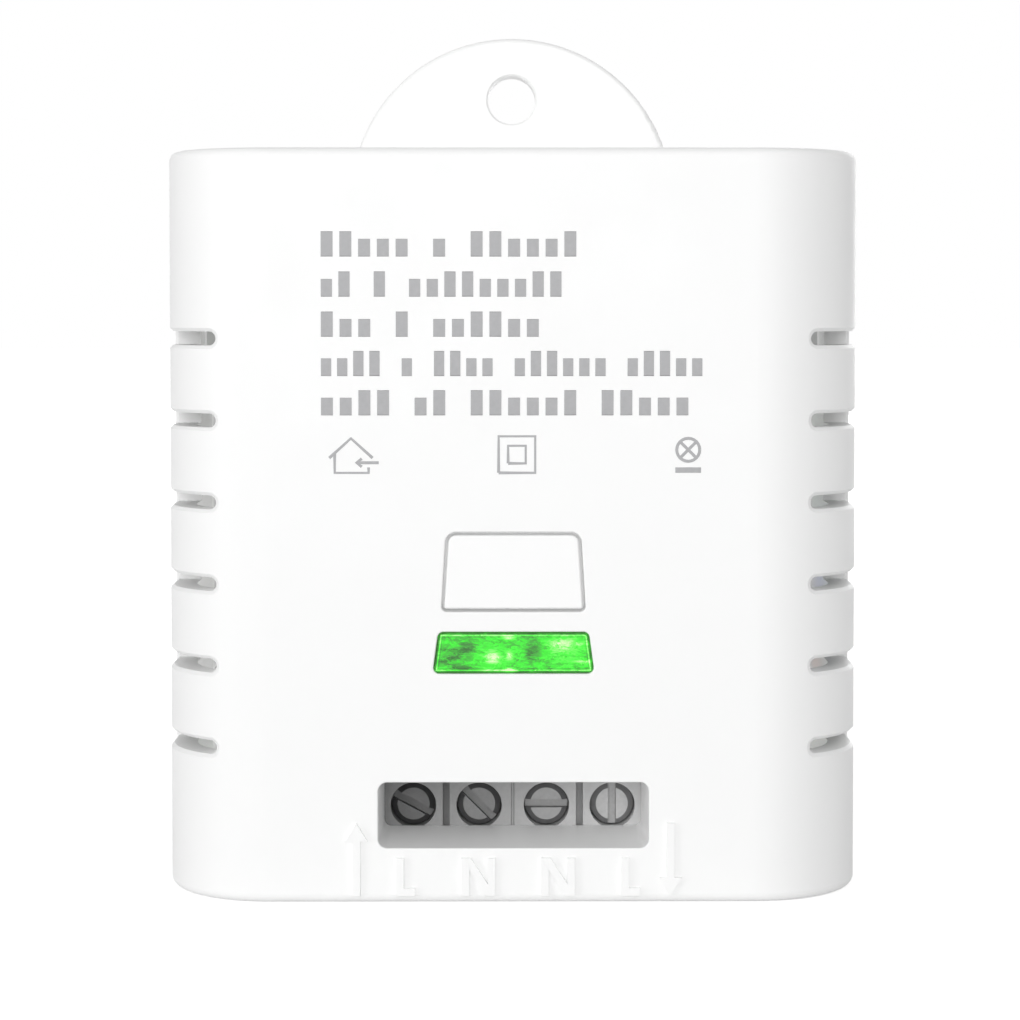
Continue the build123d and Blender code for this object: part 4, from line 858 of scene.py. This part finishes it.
coil_copper = winding_finish("coil_copper", (0.52, 0.20, 0.08), (0.68, 0.30, 0.13), 1.0, 0.3)
dress(coil_copper, "relay_coil", "inductor_winding")
tinned_wire = plated_metal("tinned_wire", (0.60, 0.60, 0.61), (0.74, 0.74, 0.74), gloss=(0.2, 0.35))
dress(tinned_wire, "relay_pins", "component_leads", "solder_feet")

# Push switch under the key: a cover of plated sheet clipped over the black body, and a snap dome under the
# plunger. The shield of the wireless board is of the same sheet.

switch_plate = plated_metal("switch_plate", (0.60, 0.60, 0.59), (0.72, 0.72, 0.70))
dress(switch_plate, "switch_cover", "switch_dome", "wifi_shield")

# Indicator: a clear moulded block over its white cup, soldered under the light pipe.
# It glows green while the module has power.

led_tones = ((0.55, 0.75, 0.50), (0.80, 0.92, 0.74))
led_clear = mottled("led_body", *led_tones, grain=4000.0, cloud=900.0, gloss=(0.1, 0.25), depth=0.0)
led_surface = led_clear.node_tree.nodes["Principled BSDF"]
led_surface.inputs["Emission Color"].default_value = (0.2, 1.0, 0.15, 1)
led_surface.inputs["Emission Strength"].default_value = 0.6
dress(led_clear, "indicator_led")

# Wireless board: a small dark laminate soldered flat on the main board, with its chip under a pressed can.
# Its antenna is a gold-plated track that runs to and fro along one edge.

board_dark = board_finish("board_dark", (0.008, 0.016, 0.03), (0.02, 0.035, 0.06), 600.0)
dress(board_dark, "wifi_board")
antenna_gold = plated_metal("antenna_gold", (0.72, 0.50, 0.20), (0.85, 0.64, 0.30))
dress(antenna_gold, "wifi_antenna")

# Electrolytic capacitors: aluminium cans in a shrunk black sleeve, with a grey stripe down one side.
# Their tops are bare and scored with a cross.

can_top_y = -0.0045
stripe_x = 0.0158


def can_finish():
    """Black sleeve with a grey stripe, bare aluminium on top."""
    finish, tree, surface = new_finish("can_sleeve")
    _, (across, deep, _) = place_on_piece(tree)
    add_skin(tree, surface, 3000.0, 500.0, (0.2, 0.35))
    stripe = calculate(tree, "GREATER_THAN", across, stripe_x)
    sleeve = blend_colours(tree, stripe, (0.012, 0.012, 0.014), (0.42, 0.42, 0.44))
    top = calculate(tree, "LESS_THAN", deep, can_top_y)
    colour = blend_colours(tree, top, sleeve, (0.62, 0.62, 0.63))
    tree.links.new(colour, surface.inputs["Base Color"])
    return finish


dress(can_finish(), "input_capacitor", "output_capacitor")

# Drum inductor, surge disc and fusible resistor: a turned ferrite drum, a ceramic disc dipped in blue epoxy,
# and a body coated in green. Each stands on its own leads.

ferrite = mottled("ferrite", (0.035, 0.035, 0.037), (0.06, 0.06, 0.062), grain=3000.0, depth=0.00001)
dress(ferrite, "inductor_drum", "transformer_core")
dipped_blue = mottled("dipped_blue", (0.02, 0.10, 0.42), (0.03, 0.15, 0.52), grain=900.0, gloss=(0.1, 0.25))
dress(dipped_blue, "surge_disc")
resistor_coat = mottled("resistor_coat", (0.20, 0.30, 0.22), (0.28, 0.38, 0.29), gloss=(0.3, 0.4))
dress(resistor_coat, "fuse_resistor")

# Transformer: a ferrite core clipped round a black bobbin, whose feet are soldered to the board.
# The winding is wrapped in yellow tape.

tape_tones = ((0.70, 0.48, 0.06), (0.82, 0.58, 0.10))
tape_run = {"Along_X": 1.0, "Along_Y": 0.0, "Turns_Per_Metre": 300.0}
tape_yellow = winding_finish("tape_yellow", *tape_tones, 0.0, 0.35, **tape_run)
dress(tape_yellow, "transformer_winding")

# Chips: the bridge, the supply and regulator chips and the relay's driver, moulded in black epoxy.
# They stand on bent tinned feet.

chip_black = mottled("chip_black", (0.012, 0.012, 0.013), (0.022, 0.022, 0.024), gloss=(0.45, 0.6))
dress(chip_black, "bridge_rectifier", "supply_chip", "regulator_chip", "relay_driver")
